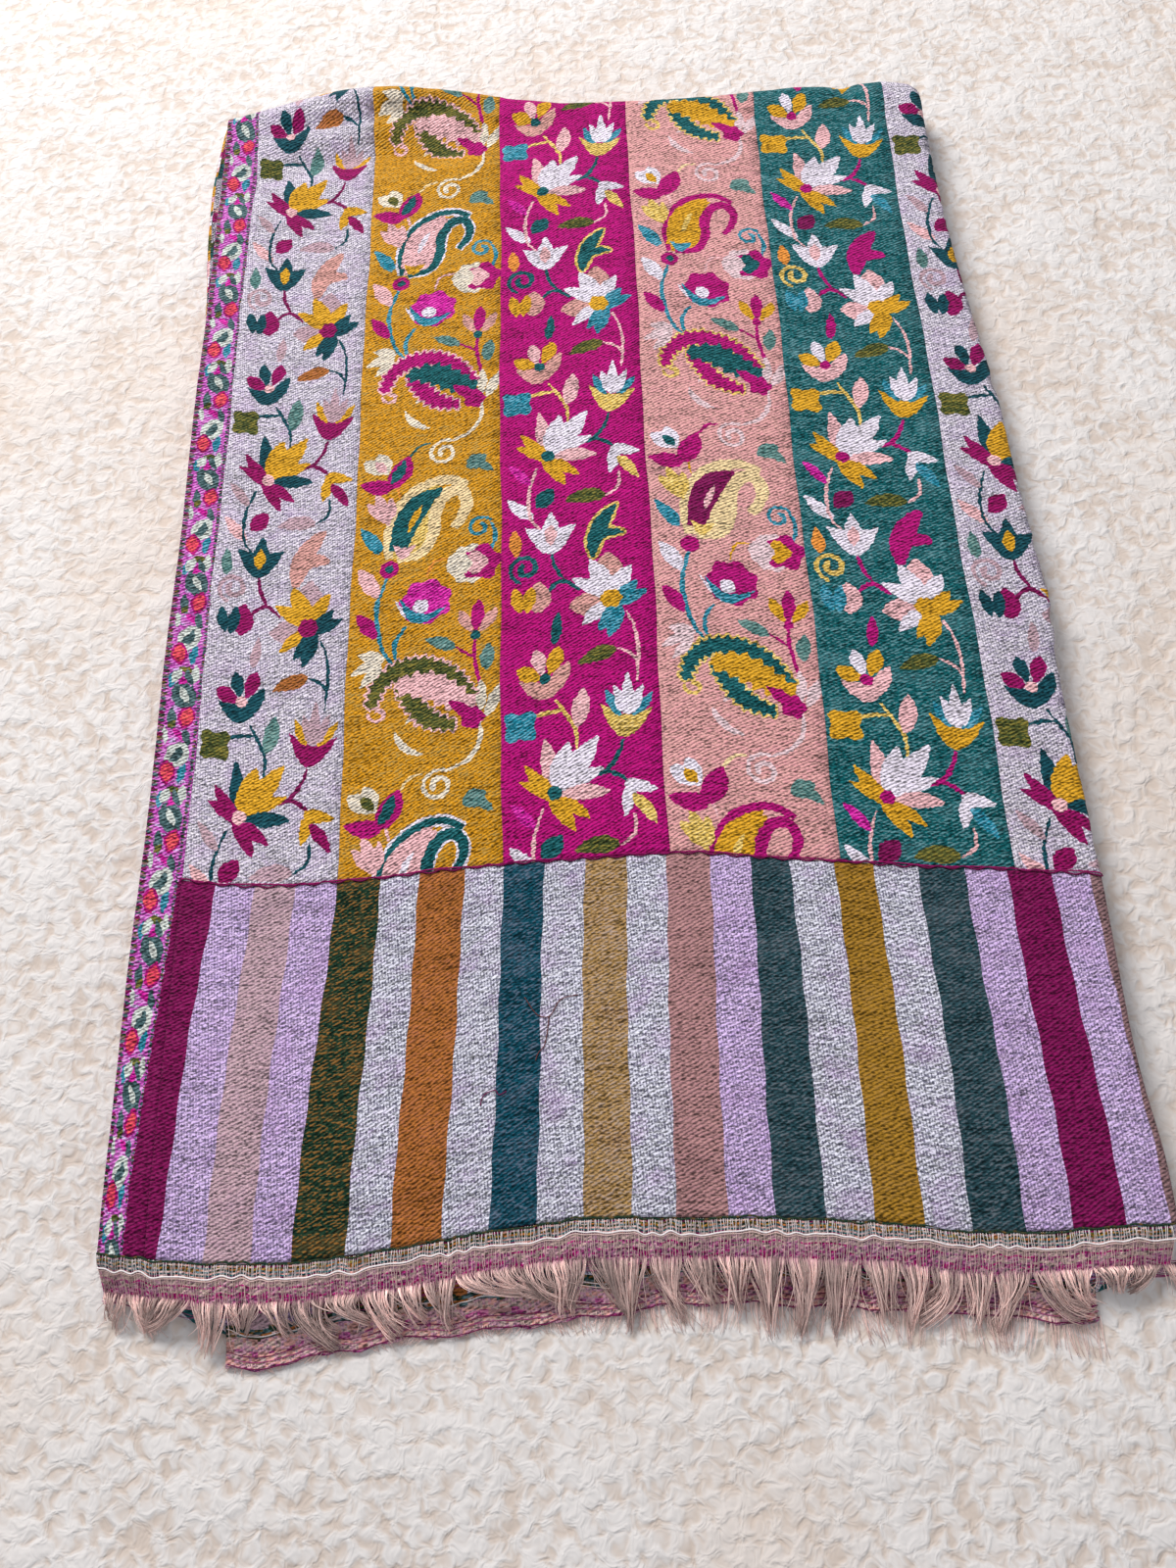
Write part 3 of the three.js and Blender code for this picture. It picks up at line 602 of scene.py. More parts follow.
PAISLEY_LEAVES = (
    # part, u, v, long, wide, turn, bend, belly
    ("prong", 13.6, 146, 14.6, 5, 130, 10, 1.2), ("prong", 13.6, 146.4, 16.2, 5, 110, 0, 1.2),
    ("prong", 14, 148.2, 11, 4, 90, 0, 1), ("teal_leaf", 10.6, 133.8, 15, 5.8, 126, 10, 0.7),
    ("pale_leaf", 10.6, 113.6, 15.4, 6.6, 121, 10, 0.9), ("dark_leaf", 10.2, 95.8, 13.6, 5.8, 124, 10, 0.9),
    ("white_leaf", 14.2, 86.6, 10.4, 5, 168, 14, 0.9), ("white_leaf", 13.6, 86.2, 13, 4.6, 204, 16, 0.9),
    ("white_leaf", 13.2, 85.6, 12.6, 4.4, 232, -14, 0.9), ("grey_leaf", 40.8, 87.6, 12.6, 5, 154, 10, 0.8),
    ("grey_leaf", 52.8, 77.4, 11.4, 5.6, 84, -10, 0.9), ("grey_leaf", 44.2, 24, 9.6, 7.6, 30, 0, 1),
    ("grey_leaf", 47.8, 26.4, 9.4, 4.2, -38, -20, 0.8), ("bud_side", 47.6, 93.2, 12, 4.6, 116, -12, 1.2),
    ("bud_side", 49.6, 93.2, 12.2, 4.6, 58, 12, 1.2), ("bud_mid", 48.4, 92.8, 15, 5.2, 86, 0, 1.3),
    ("heart_rim", 12.4, 17.8, 17.6, 8.8, 62, 30, 1), ("heart_rim", 14.6, 18.4, 13.8, 7.2, 168, -16, 0.7),
    ("heart_flower", 12.6, 25, 11.4, 7, 112, 0, 1.1),
    ("heart_flower", 12.6, 25.4, 12.4, 7, 146, 0, 1.1),
)
PAISLEY_OVER = (
    (leaf, "heart", 13.6, 20, 12.6, 4.6, 64, 26), (leaf, "heart_eye", 11.8, 26, 7, 4.2, 128),
    (disc, "calyx", 48.4, 92.4, 4),
)


def paisley_repeat(kind, start):
    """One repeat of the paisley design: under, the toothed arch and lobe with their rims, the wedge
    between them, the tear with its tail filled in, and leaves."""
    yarn = {part: yarns[kind * len(yarns) // PAISLEY_KINDS] for part, yarns in PAISLEY_YARNS.items()}
    arch = toothed(bar(yarn["arch"], 0.8, 2.6, 1.0, *ARCH), 3.2, 2.2)
    lobe = toothed(bar(yarn["arch"], 1.0, 2.6, 0.9, *LOBE), 3.2, 2.2)
    wedge = toothed(bar(yarn["wedge"], 1.2, 4.4, 2.6, *WEDGE), 4.8, 2.6)
    tail, over = path(TAIL), path(TAIL_OVER)
    fill = np.concatenate([over[:int(0.8 * len(over))], tail[:int(0.5 * len(tail))][::-1]])
    shapes = [
        *drawn(PAISLEY_UNDER, yarn),
        grown(yarn["arch_rim"], arch, 0.9),
        grown(yarn["arch_rim"], lobe, 0.8),
        curl(yarn["arch_rim"], 12.6, 64.2, 7.4, 0.9, 1.7, 170, 1),
        arch,
        lobe,
        wedge,
        *drawn(PAISLEY_BUDS, yarn),
        (yarn["tear_fill"], fill),
        *drawn(PAISLEY_TEAR, yarn),
        *(leaf(yarn[part], *numbers) for part, *numbers in PAISLEY_LEAVES),
        *drawn(PAISLEY_OVER, yarn),
    ]
    return [(name, outline + (0, start)) for name, outline in shapes]


# The selvedge band narrows towards the hem, where the first stripe lies on its right-hand side. Its repeat is
# a slate ring round a pale oval and a pale ring round a slate heart, with coral flowers between them.
BAND_REPEAT = 48.8
BAND_LENGTH = 520
STITCH = 1.1
EDGE_STITCHES = ("slate", "mauve", "dark_green", "wine")
STRIPE_BESIDE = 125  # length of the first stripe beside the band
BAND_SHOWN = ((0, 8.2), (20, 8.6), (118, 13.8), (200, 15), (520, 15))
BAND_MOTIFS = (
    # yarn, u, v, long, wide, turn and bend
    ("magenta", 9.6, -13.6, 9.6, 6.6, 80, 0), ("slate", 4.8, -5, 9.6, 3.4, -82, 20),
    ("coral", 9.8, -12.4, 7.4, 5, 78, 0),
    ("olive", 4.2, -14, 4.4, 2.6, 60, 0), ("bright_magenta", 5.6, -14, 7.8, 2.6, -36, 0),
    ("slate", 10.8, -13.6, 7, 3, -74, 30), ("pale_green", 3.4, -20, 7, 2.4, 96, 0),
    ("magenta", 5.6, -36.2, 9.8, 6.6, 94, 0), ("coral", 5.6, -35, 7.6, 5, 96, 0),
    ("bright_teal", 10.4, -35.6, 8.4, 3.2, 80, -20), ("olive", 6, -37.6, 5.6, 3, -10, 0),
    ("pale_green", 4.2, -43.6, 6.4, 3.8, 66, 0), ("bright_magenta", 6.6, -44.6, 6.4, 3, 48, 0),
    ("pale_green", 11.4, -44, 8.4, 3.2, 86, 20), ("slate", 8.8, -37.8, 7.2, 2.6, -66, 20),
)


def band_shapes():
    """The band's motifs, squeezed to its shown width, its stitched edges and the stripe beside it."""
    shown = through(BAND_SHOWN)
    shapes = []
    for start in np.arange(0, BAND_LENGTH + BAND_REPEAT, BAND_REPEAT):
        shapes += [
            leaf("bright_teal", 3.6, start + 3.0, 7.0, 3.0, 84, -20),
            grown("slate", leaf("slate", 6.8, start + 4.0, 9.2, 5.0, -66), 2.0),
            leaf("pale_green", 7.2, start + 3.2, 7.2, 3.0, -62),
            leaf("slate", 11.2, start + 4.4, 6.0, 2.2, -70, 30),
            grown("pale_green", leaf("pale_green", 6.2, start - 28.4, 9.0, 5.6, 62), 1.6),
            leaf("slate", 5.4, start - 27.2, 7.0, 3.2, 40),
            leaf("slate", 8.2, start - 27.2, 6.8, 2.8, 78),
        ]
        shapes += [leaf(yarn, u, start + v, *numbers) for yarn, u, v, *numbers in BAND_MOTIFS]
    for number, start in enumerate(np.arange(0, BAND_LENGTH, STITCH)):
        left, right = EDGE_STITCHES[number % 4], EDGE_STITCHES[2 * (number % 2)]
        shapes.append(leaf(left, -0.4, start, 3.2, 1.25, chance.uniform(-14, 14), 0, 0.8))
        shapes.append(leaf(right, 13.5, start, 2.0, 1.0, chance.uniform(-20, 20)))
        if number % 3:
            shapes.insert(0, leaf("lilac", chance.uniform(2.4, 10), start, chance.uniform(2.4, 5), 0.9, 0))
    squeezed = []
    for yarn, outline in shapes:
        share = shown(outline[:, 1]) / BAND_WIDTH
        squeezed.append((yarn, outline * np.stack([share, np.ones(len(outline))], 1)))
    v = np.arange(0, STRIPE_BESIDE, 2.0)
    beside = np.concatenate([np.stack([shown(v), v], 1), [(BAND_WIDTH + 1, v[-1]), (BAND_WIDTH + 1, 0)]])
    return [*squeezed, ("wine", beside)]


# Edges of the striped end's stripes near the seam and near the hem, and the yarn to the right of each
STRIPE_Y = (124, 22)
STRIPES = (
    # seam x, hem x, yarn
    (-156.9, -161.0, "wine"), (-143.6, -150.5, "lilac"), (-129.7, -135.8, "beige"),
    (-115.2, -120.9, "lilac"), (-100.3, -107.8, "dark_green"), (-84.8, -90.8, "gauze"),
    (-71.4, -76.9, "orange_brown"), (-55.4, -60.9, "gauze"), (-41.7, -46.2, "stripe_teal"),
    (-27.8, -31.8, "gauze"), (-13.9, -17.2, "stripe_tan"), (0.7, -2.0, "gauze"),
    (14.5, 11.6, "stripe_pink"), (29.6, 27.6, "lilac"), (43.7, 42.4, "worn_teal"), (57.4, 58.3, "gauze"),
    (73.0, 73.2, "stripe_mustard"), (86.3, 88.1, "gauze"), (101.2, 102.3, "worn_teal"),
    (116.7, 118.6, "lilac"), (130.8, 133.1, "wine"), (145.5, 148.7, "lilac"), (158.0, 161.9, "mauve"),
)
STRIPES_MIDDLE = 60.0  # y where the right-hand fold's line is read for all stripes
STRIPE_CELLS = 8
STRIPE_ROWS = 64

# The hem's rows outwards from the hem: from and to, the length of a dash, and the yarns of its dashes
HEM_STEP = 0.5
HEM_ROWS = (
    (0.0, 0.5, 3.0, ("dark_green", "slate")), (0.5, 1.0, 1.2, ("dusty", "warp", "wine")),
    (1.0, 1.5, 2.4, ("dark_green", "slate", "olive")),
    (1.5, 2.0, 1.8, ("orange_brown", "stripe_mustard", "warp")),
    (2.0, 2.6, 2.4, ("dark_green", "slate")), (2.6, 3.1, 1.2, ("warp", "dusty")),
    (3.1, 3.6, 2.4, ("slate", "teal")), (3.6, 4.6, 1.2, ("warp", "dusty", "wine")),
    (4.6, 6.6, 1.2, ("warp", "fringe_root", "warp")), (6.6, 7.1, 3.6, ("weft", "magenta")),
    (7.1, 8.9, 1.8, ("fringe_root", "weft", "warp")),
    (8.9, 11.3, 1.8, ("magenta", "weft", "fringe_root", "weft")),
    (11.3, 12.6, 1.2, ("weft", "fringe_root", "fringe_root")),
)
# The lower layer's rows inwards from its own hem on the floor; further in its stripes go on
LOWER_STEP = 0.8
LOWER_ROWS = (
    (0.0, 0.8, 1.8, ("weft", "fringe_root")), (0.8, 4.4, 1.2, ("fringe_root", "dusty", "warp")),
    (4.4, 5.2, 1.8, ("weft", "dusty", "fringe_root")),
    (5.2, 6.0, 2.4, ("stripe_pink", "weft", "fringe_root")),
    (6.0, 9.2, 1.2, ("fringe_root", "warp", "dusty")),
    (9.2, 10.0, 2.4, ("slate", "dark_green")), (10.0, 10.8, 1.8, ("orange_brown", "warp")),
    (10.8, 11.8, 2.4, ("dark_green", "slate")),
)


# The weave: ribs, the open weave's rows and its warp in millimetres, the colour of the painted shade in its
# gaps, and that of the tint
RIB_PITCH = 1.15
GAUZE_PITCH = 2.1
WARP_PITCH = 1.0
GAP_SHADE_COLOUR = "#4A4668"
TINT_COLOUR = "#C592D6"


def material(name, build):
    """A new material whose nodes a function builds."""
    made = bpy.data.materials.new(name)
    made.use_nodes = True
    build(Look(made.node_tree))
    return made


class Value:
    """A socket of a material on which Python's arithmetic adds Math nodes."""

    def __init__(self, look, socket):
        self.look = look
        self.socket = socket

    def also(self, output):
        """Another output of the same node."""
        return Value(self.look, self.socket.node.outputs[output])

    def __add__(self, other):
        return self.look.math("ADD", self, other)

    def __radd__(self, other):
        return self.look.math("ADD", other, self)

    def __sub__(self, other):
        return self.look.math("SUBTRACT", self, other)

    def __rsub__(self, other):
        return self.look.math("SUBTRACT", other, self)

    def __mul__(self, other):
        return self.look.math("MULTIPLY", self, other)

    def __rmul__(self, other):
        return self.look.math("MULTIPLY", other, self)


class Look:
    """A material's node tree, and one way to add a node to it."""

    def __init__(self, tree):
        self.tree = tree
        self.shader = next(n for n in tree.nodes if n.type == "BSDF_PRINCIPLED")

    def node(self, kind, settings=None, output=0, **sockets):
        """Adds a node, makes its settings, fills or links its sockets by name or by _number, and gives one
        of its outputs."""
        added = self.tree.nodes.new(kind)
        for key, value in (settings or {}).items():
            setattr(added, key, value)
        for key, value in sockets.items():
            name = int(key[1:]) if key[0] == "_" else key.replace("_", " ")
            self.feed(added.inputs[name], value)
        return Value(self, added.outputs[output])

    def feed(self, socket, value):
        if isinstance(value, Value):
            self.tree.links.new(value.socket, socket)
        else:
            socket.default_value = value

    def math(self, operation, first, second=0.0):
        return self.node("ShaderNodeMath", {"operation": operation}, _0=first, _1=second)

    def blend(self, share, first, second):
        return self.node("ShaderNodeMix", {"data_type": "RGBA"}, 2, _0=share, _6=first, _7=second)

    def scaled(self, vector, share):
        return self.node("ShaderNodeVectorMath", {"operation": "SCALE"}, _0=vector, _3=share)

    def threshold(self, value, low, high):
        smoothly = {"interpolation_type": "SMOOTHSTEP"}
        return self.node("ShaderNodeMapRange", smoothly, Value=value, From_Min=low, From_Max=high)

    def noise(self, place, detail=2.0, distortion=0.0):
        """Noise over a place in its own cells, so its scale is 1."""
        sockets = {"Vector": place, "Scale": 1.0, "Detail": detail, "Distortion": distortion}
        return self.node("ShaderNodeTexNoise", **sockets)

    def place(self, u, v, w=0.0):
        return self.node("ShaderNodeCombineXYZ", X=u, Y=v, Z=w)

    def cloth(self):
        """The cloth's millimetres u and v, the shown yarn's colour and how open its weave is, and the
        colour between and its share."""
        u = self.node("ShaderNodeSeparateXYZ", _0=self.node("ShaderNodeUVMap", {"uv_map": "Cloth"}))
        shown = self.node("ShaderNodeAttribute", {"attribute_name": "Yarn"}, "Color")
        between = self.node("ShaderNodeAttribute", {"attribute_name": "Between"}, "Color")
        return u, u.also(1), shown, shown.also("Alpha"), between, between.also("Alpha")

    def wave(self, way, length):
        """A sine over a way in millimetres."""
        return self.math("SINE", way * (2 * math.pi / length))

    def finish(self, colour, rough, height, bump_distance, sheen):
        """Feeds the shader: colour, roughness and a bump from a height, and its fixed sheen."""
        bump = self.node("ShaderNodeBump", Height=height, Strength=0.8, Distance=bump_distance)
        fed = {
            "Base Color": colour, "Roughness": rough, "Normal": bump, "Sheen Weight": sheen,
            "Sheen Roughness": 0.45, "Specular IOR Level": 0.12,
        }
        for name, value in fed.items():
            self.feed(self.shader.inputs[name], value)


def woven(look):
    """Twill weave on cloth millimetres: streaks along the weft, slow bands of dye, slanting ribs with painted
    highlight on their crests and painted shade between them, threads of the other set that show between,
    and on open weave small gaps painted dark as shade and a violet tint."""
    u, v, shown, gauze, between, share = look.cloth()

    def cells(along, across, level, detail=2.0):
        """Noise in cells for a millimetre along u and v, each kind at a level of its own."""
        return look.noise(look.place(u * along, v * across, level), detail)

    streak = cells(0.07, 0.85, 3.0) - 0.5
    band = cells(0.022, 0.12, 7.0) - 0.5
    patch = cells(0.08, 0.11, 1.0) - 0.5
    thread = cells(0.70, 1.45, 5.0, 1.0) - 0.5
    slub = cells(0.26, 1.05, 8.0, 1.0) - 0.5
    crinkle = cells(0.20, 0.36, 6.0) - 0.5
    crimp = cells(0.80, 1.15, 9.0, 1.0) - 0.5
    rib = look.wave(v * 0.82 - u * 0.46 + cells(0.12, 0.2, 2.0) * 1.6, RIB_PITCH)
    row = look.wave(v + cells(0.11, 0.16, 11.0) * 7.0, GAUZE_PITCH)
    warp = look.math("SINE", u * (2 * math.pi / WARP_PITCH) + v * 0.6)
    # the ribs' share of the tone is painted highlight on their crests and painted shade between them; the
    # other terms are the yarn's own tone
    tone = 1.08 + streak * 1.6 + band * 0.7 + patch * 0.7 + rib * 0.26 + thread * 3.3 + slub * 1.9
    colour = look.scaled(shown, look.math("MAXIMUM", tone, 0.22))
    dyed = look.threshold(band + patch * 0.8, 0.0, 0.20)
    flecks = look.threshold(thread * 0.9 + rib * 0.10 + slub * 0.9 + streak * 0.5, 0.03, 0.16)
    colour = look.blend((flecks + dyed * 0.24) * share, colour, between)
    # the open weave's gaps are real openings; the dark colour painted in them is shade
    shaded_gap = look.threshold(crimp + warp * 0.12 + row * 0.10 + slub * 0.3, 0.03, 0.20)
    colour = look.blend(shaded_gap * gauze * 0.75, colour, (*paint(GAP_SHADE_COLOUR), 1.0))
    tint = look.threshold(cells(0.09, 0.10, 12.0) + thread * 0.5, 0.42, 0.80)
    colour = look.blend(tint * gauze * 0.36, colour, (*paint(TINT_COLOUR), 1.0))
    height = rib * 0.5 + thread * 2.0 + slub * 1.2 + streak * 0.8 + crinkle * 2.4 - shaded_gap * gauze * 1.6
    look.finish(colour, 0.9 - flecks * 0.08, height, 0.0004, 0.04)


def spun(look):
    """Loose yarn: its colour with slow changes along it and fine fibres across."""
    u, v, shown, _, between, share = look.cloth()
    fibre = look.noise(look.place(u * 1.7, v * 0.5, 3.0)) - 0.5
    twist = look.math("SINE", v * 4.0 + u * 9.0)
    other = look.threshold(fibre, -0.05, 0.3) * share
    colour = look.blend(other, look.scaled(shown, 1.0 + fibre * 0.5), between)
    look.finish(colour, 0.85 + fibre * 0.1, twist * 0.3 + fibre, 0.0001, 0.06)


def pile(look):
    """A pale fleece: small twisted curls in tufts, darker beige in their low hollows as painted shade
    together with the fleece's own tone, and slow beige patches.
    """
    place = look.node("ShaderNodeTexCoord", None, "Object")
    curl = look.noise(look.scaled(place, 210.0), distortion=0.6)
    tuft = look.noise(look.scaled(place, 36.0))
    slow = look.noise(look.scaled(place, 6.0))
    lit_curl_tops = look.threshold(curl + tuft * 0.5, 0.54, 0.84)
    # the darker beige lies where the bump is lowest: painted shade in the fleece's hollows, together with its
    # own tone
    colour = look.blend(lit_curl_tops, (*paint("#D5C6BC"), 1.0), (*paint("#E4DFDE"), 1.0))
    colour = look.blend(look.threshold(slow, 0.46, 0.66) * 0.4, colour, (*paint("#DDCBBE"), 1.0))
    look.finish(colour, 0.95 + curl * 0.03, curl * 1.0 + tuft * 2.0, 0.0018, 0.1)


wool = material("woven_wool", woven)
yarn_look = material("spun_yarn", spun)
floor_look = material("pale_floor", pile)


def placed(name, data):
    """A new object in the scene."""
    made = bpy.data.objects.new(name, data)
    bpy.context.scene.collection.objects.link(made)
    return made


def new_mesh(name, points, faces, look):
    """A mesh from points in the frame's metres."""
    mesh = bpy.data.meshes.new(name)
    mesh.from_pydata(np.asarray(points).tolist(), [], faces)
    mesh.materials.append(look)
    mesh.shade_smooth()
    return placed(name, mesh)


def colour_corners(piece, uv, yarn, by_face=True, tone=None):
    """Writes the cloth's millimetres and its yarns: a yarn number for each face, or for each point."""
    mesh = piece.data
    corner = np.zeros(len(mesh.loops), int)
    mesh.loops.foreach_get("vertex_index", corner)
    sides = np.zeros(len(mesh.polygons), int)
    mesh.polygons.foreach_get("loop_total", sides)
    chosen = np.repeat(yarn, sides) if by_face else np.asarray(yarn)[corner]
    layer = mesh.uv_layers.new(name="Cloth")
    layer.uv.foreach_set("vector", np.asarray(uv, float)[corner].ravel())
    shown = SHOWN[chosen].copy()
    if tone is not None:
        shown[:, :3] *= np.asarray(tone)[corner][:, None]
    for name, values in (("Yarn", shown), ("Between", BETWEEN[chosen])):
        mesh.color_attributes.new(name, "FLOAT_COLOR", "CORNER").data.foreach_set("color", values.ravel())


def belongs(piece, slot, *nodes):
    """Puts a piece on the root and in place of its nodes. Its slot is not used."""
    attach(piece, "root")
    if nodes:
        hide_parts(*nodes)


def cloth_piece(name, points, faces, uv, yarns, slot, node, thick=SHELL):
    """A sheet of woven cloth in place of a node, made solid downwards unless it is closed."""
    piece = new_mesh(name, to_frame(points.reshape(-1, 3)), faces.tolist(), wool)
    colour_corners(piece, uv.reshape(-1, 2), yarns.ravel())
    if thick:
        solid = piece.modifiers.new("cloth thickness", "SOLIDIFY")
        solid.thickness = thick * 0.001
        solid.offset = -1
    belongs(piece, slot, node)
    return piece


def lengths(points, axis):
    """How far each point of a grid is along it in one way."""
    first = np.take(points, [0], axis)
    return np.cumsum(np.linalg.norm(np.diff(points, axis=axis, prepend=first), axis=2), axis)


def within(points, outline):
    """Which points lie in an outline, by the even-odd count of its sides that cross a point's level."""
    low, high = outline.min(0), outline.max(0)
    near = np.flatnonzero(np.all((points >= low) & (points <= high), axis=1))
    if not len(near):
        return near
    x, y = points[near, 0][:, None], points[near, 1][:, None]
    start, end = outline, np.roll(outline, -1, 0)
    crossing = (start[:, 1] > y) != (end[:, 1] > y)
    rise = np.where(end[:, 1] == start[:, 1], 1.0, end[:, 1] - start[:, 1])
    at = start[:, 0] + (y - start[:, 1]) * (end[:, 0] - start[:, 0]) / rise
    return near[np.sum(crossing & (x < at), axis=1) % 2 == 1]


def woven_faces(rim, shapes, ground, grid):
    """Triangulates a strip of cloth so that each motif's outline is a row of edges, and gives each face
    the yarn of the topmost motif that holds its middle."""
    stepped = []
    for yarn, outline in shapes:
        even = evened(outline, KNOT_STEP)
        stepped.append((yarn, even + chance.uniform(-KNOT_STRAY, KNOT_STRAY, even.shape)))
    low, high = rim.min(0), rim.max(0)
    columns = np.arange(low[0] + grid / 2, high[0], grid)
    rows = np.arange(low[1] + grid / 2, high[1], grid)
    inner = np.stack(np.meshgrid(columns, rows), -1).reshape(-1, 2)
    inner = inner[within(inner, mix(rim, rim.mean(0), RIM_CLEAR))]
    rings = [rim, *(outline for yarn, outline in stepped)]
    starts = np.cumsum([0, *(len(ring) for ring in rings)])
    edges = np.concatenate([ring_edges(len(ring), start) for ring, start in zip(rings, starts)])
    points = np.concatenate([*rings, inner])
    result = delaunay_2d_cdt([Vector(p) for p in points], edges.tolist(), [], 0, NEAR)
    flat = np.array([tuple(p) for p in result[0]])
    faces = np.array(result[2])
    centre = flat[faces].mean(1)
    kept = within(centre, rim)
    faces, centre = faces[kept], centre[kept]
    yarns = np.full(len(faces), number_of(ground))
    for yarn, outline in stepped:
        yarns[within(centre, outline)] = number_of(yarn)
    return flat, faces, yarns


def ring_edges(count, start):
    """Pairs of neighbours round a closed row of points, numbered from start."""
    i = np.arange(count)
    return np.stack([i, (i + 1) % count], 1) + start


def wander(flat):
    """How far the weave's straight lines stray on the cloth, in millimetres."""
    u, v = flat.T
    return np.stack([
        0.35 * np.sin(v / 23 + u / 60) + 0.2 * np.sin(v / 7.5 + 1),
        0.7 * np.sin(u / 31 + 2) * np.clip(v / 40, 0, 1),
    ], 1)


def field_place(flat):
    """The form's points for cloth millimetres of the field: u across from its left edge and v from the
    seam."""
    u, v = (flat + wander(flat)).T
    x = np.interp(u, np.arange(len(COLUMN_EDGES)) * COLUMN, COLUMN_EDGES)
    x = np.where(u > 0, x, COLUMN_EDGES[0] + u)
    return on_top(x, seam_y(x) + np.maximum(v, 0))


def column_rim(left, last):
    """A column's outline. The last one ends where the cloth has turned round the right-hand fold."""
    v = np.arange(0, FIELD_REACH, EDGE_STEP)
    right = np.full(len(v), float(left + COLUMN))
    if last:
        scale = (COLUMN_EDGES[-1] - COLUMN_EDGES[-2]) / COLUMN
        y = np.minimum(v + float(seam_y(FOLD_X)), float(back_y(FOLD_X)))
        x = right_x(y) - LIP_OUT + LIP_ROUND * SIDE_WRAP
        right = (len(COLUMN_EDGES) - 2) * COLUMN + (x - COLUMN_EDGES[-2]) / scale
    across = np.linspace(0, 1, 26)
    end = mix(left, right[-1], across)
    x = np.interp(end, np.arange(len(COLUMN_EDGES)) * COLUMN, COLUMN_EDGES)
    end_v = back_end(x) - seam_y(x)
    return np.concatenate([
        np.stack([mix(left, right[0], across), 0 * across], 1),
        np.stack([right[1:], v[1:]], 1)[v[1:] < end_v[-1] - 1],
        np.stack([end, end_v], 1)[::-1],
        np.stack([np.full(len(v) - 1, float(left)), v[1:]], 1)[v[1:] < end_v[0] - 1][::-1],
    ])


COLUMNS = (
    # piece, ground, design and its kinds for even and odd repeats
    ("column_white_left", "field_white", lily_repeat, (1, 1)),
    ("column_mustard", "field_mustard", paisley_repeat, (0, 1)),
    ("column_magenta", "field_magenta", lily_repeat, (0, 0)),
    ("column_pink", "field_pink", paisley_repeat, (2, 3)),
    ("column_teal", "field_teal", lily_repeat, (2, 2)),
    ("column_white_right", "field_white", lily_repeat, (1, 1)),
)


def flowered_columns():
    """The field's six columns, woven in one and split along their edges."""
    for number, (name, ground, design, kinds) in enumerate(COLUMNS):
        left = number * COLUMN
        rim = column_rim(left, number == len(COLUMNS) - 1)
        shapes = []
        for repeat in REPEATS:
            for yarn, outline in design(kinds[repeat % 2], repeat * REPEAT):
                if outline[:, 1].max() > 1 and outline[:, 1].min() < rim[:, 1].max() - 1:
                    shapes.append((yarn, outline + (left, 0)))
        flat, faces, yarns = woven_faces(rim, shapes, ground, FIELD_GRID)
        piece = cloth_piece(name, field_place(flat), faces, flat, yarns, "field", "field_cloth")


def selvedge_band():
    """The figured band along the left edge, from the hem to the back."""
    middle = BAND_LEFT + BAND_WIDTH / 2
    end = float(back_end(middle) - hem_y(middle))
    sides = np.arange(0, BAND_LENGTH, EDGE_STEP)
    sides = sides[(sides > 1) & (sides < end - 1)]
    wide = BAND_WIDTH + GAP
    across = np.linspace(0, wide, 9)
    rim = np.concatenate([
        np.stack([across, 0 * across], 1), np.stack([0 * sides + wide, sides], 1),
        np.stack([across, 0 * across + end], 1)[::-1], np.stack([0 * sides, sides], 1)[::-1],
    ])
    flat, faces, yarns = woven_faces(rim, band_shapes(), "band", BAND_GRID)
    x = BAND_LEFT + flat[:, 0] + 0.3 * np.sin(flat[:, 1] / 19) * (1 - flat[:, 0] / wide)
    points = on_top(x, flat[:, 1] + hem_y(x))
    piece = cloth_piece("selvedge_band", points, faces, flat, yarns, "band", "side_band")


def grid_faces(rows, columns):
    """Quads over points in row-major order, facing up where a row runs along +x and rows go to +y."""
    i, j = np.meshgrid(np.arange(rows - 1), np.arange(columns - 1), indexing="ij")
    a = (i * columns + j).ravel()
    return np.stack([a, a + 1, a + columns + 1, a + columns], 1)


def striped_end():
    """The plain striped end: a grid whose columns follow the stripes' edges from the seam to the hem."""
    last = right_x(STRIPES_MIDDLE) - LIP_OUT + LIP_ROUND * SIDE_WRAP
    part = np.arange(STRIPE_CELLS) / STRIPE_CELLS

    def across(end):
        """Places across at one end: the stripes' edges, with even steps between them."""
        edges = np.append(np.maximum([row[end] for row in STRIPES], FIELD_LEFT), last)
        return np.append(mix(edges[:-1, None], edges[1:, None], part).ravel(), last)

    seam, hem = across(0), across(1)
    t = np.linspace(0, 1, STRIPE_ROWS)[:, None]
    y = mix(hem_y(hem), seam_y(seam) - 0.2, t)
    lean = (y - STRIPE_Y[1]) / (STRIPE_Y[0] - STRIPE_Y[1])
    x = mix(hem, seam, lean)
    sway = 0.25 * np.sin(y / 3.7 + hem / 9) + 0.3 * np.sin(y / 17 + hem / 25)
    x = x + sway * np.clip((x - FIELD_LEFT) / 5, 0, 1)
    x = np.clip(x, FIELD_LEFT, last)
    yarns = np.repeat(numbers_of(row[2] for row in STRIPES), STRIPE_CELLS)
    yarns = np.tile(yarns, STRIPE_ROWS - 1)
    uv = np.stack([x, y - hem_y(x)], -1)
    piece = cloth_piece(
        "striped_end", on_top(x, y), grid_faces(*x.shape), uv, yarns, "stripes", "end_panel"
    )
    pieces = hem_and_fringe()


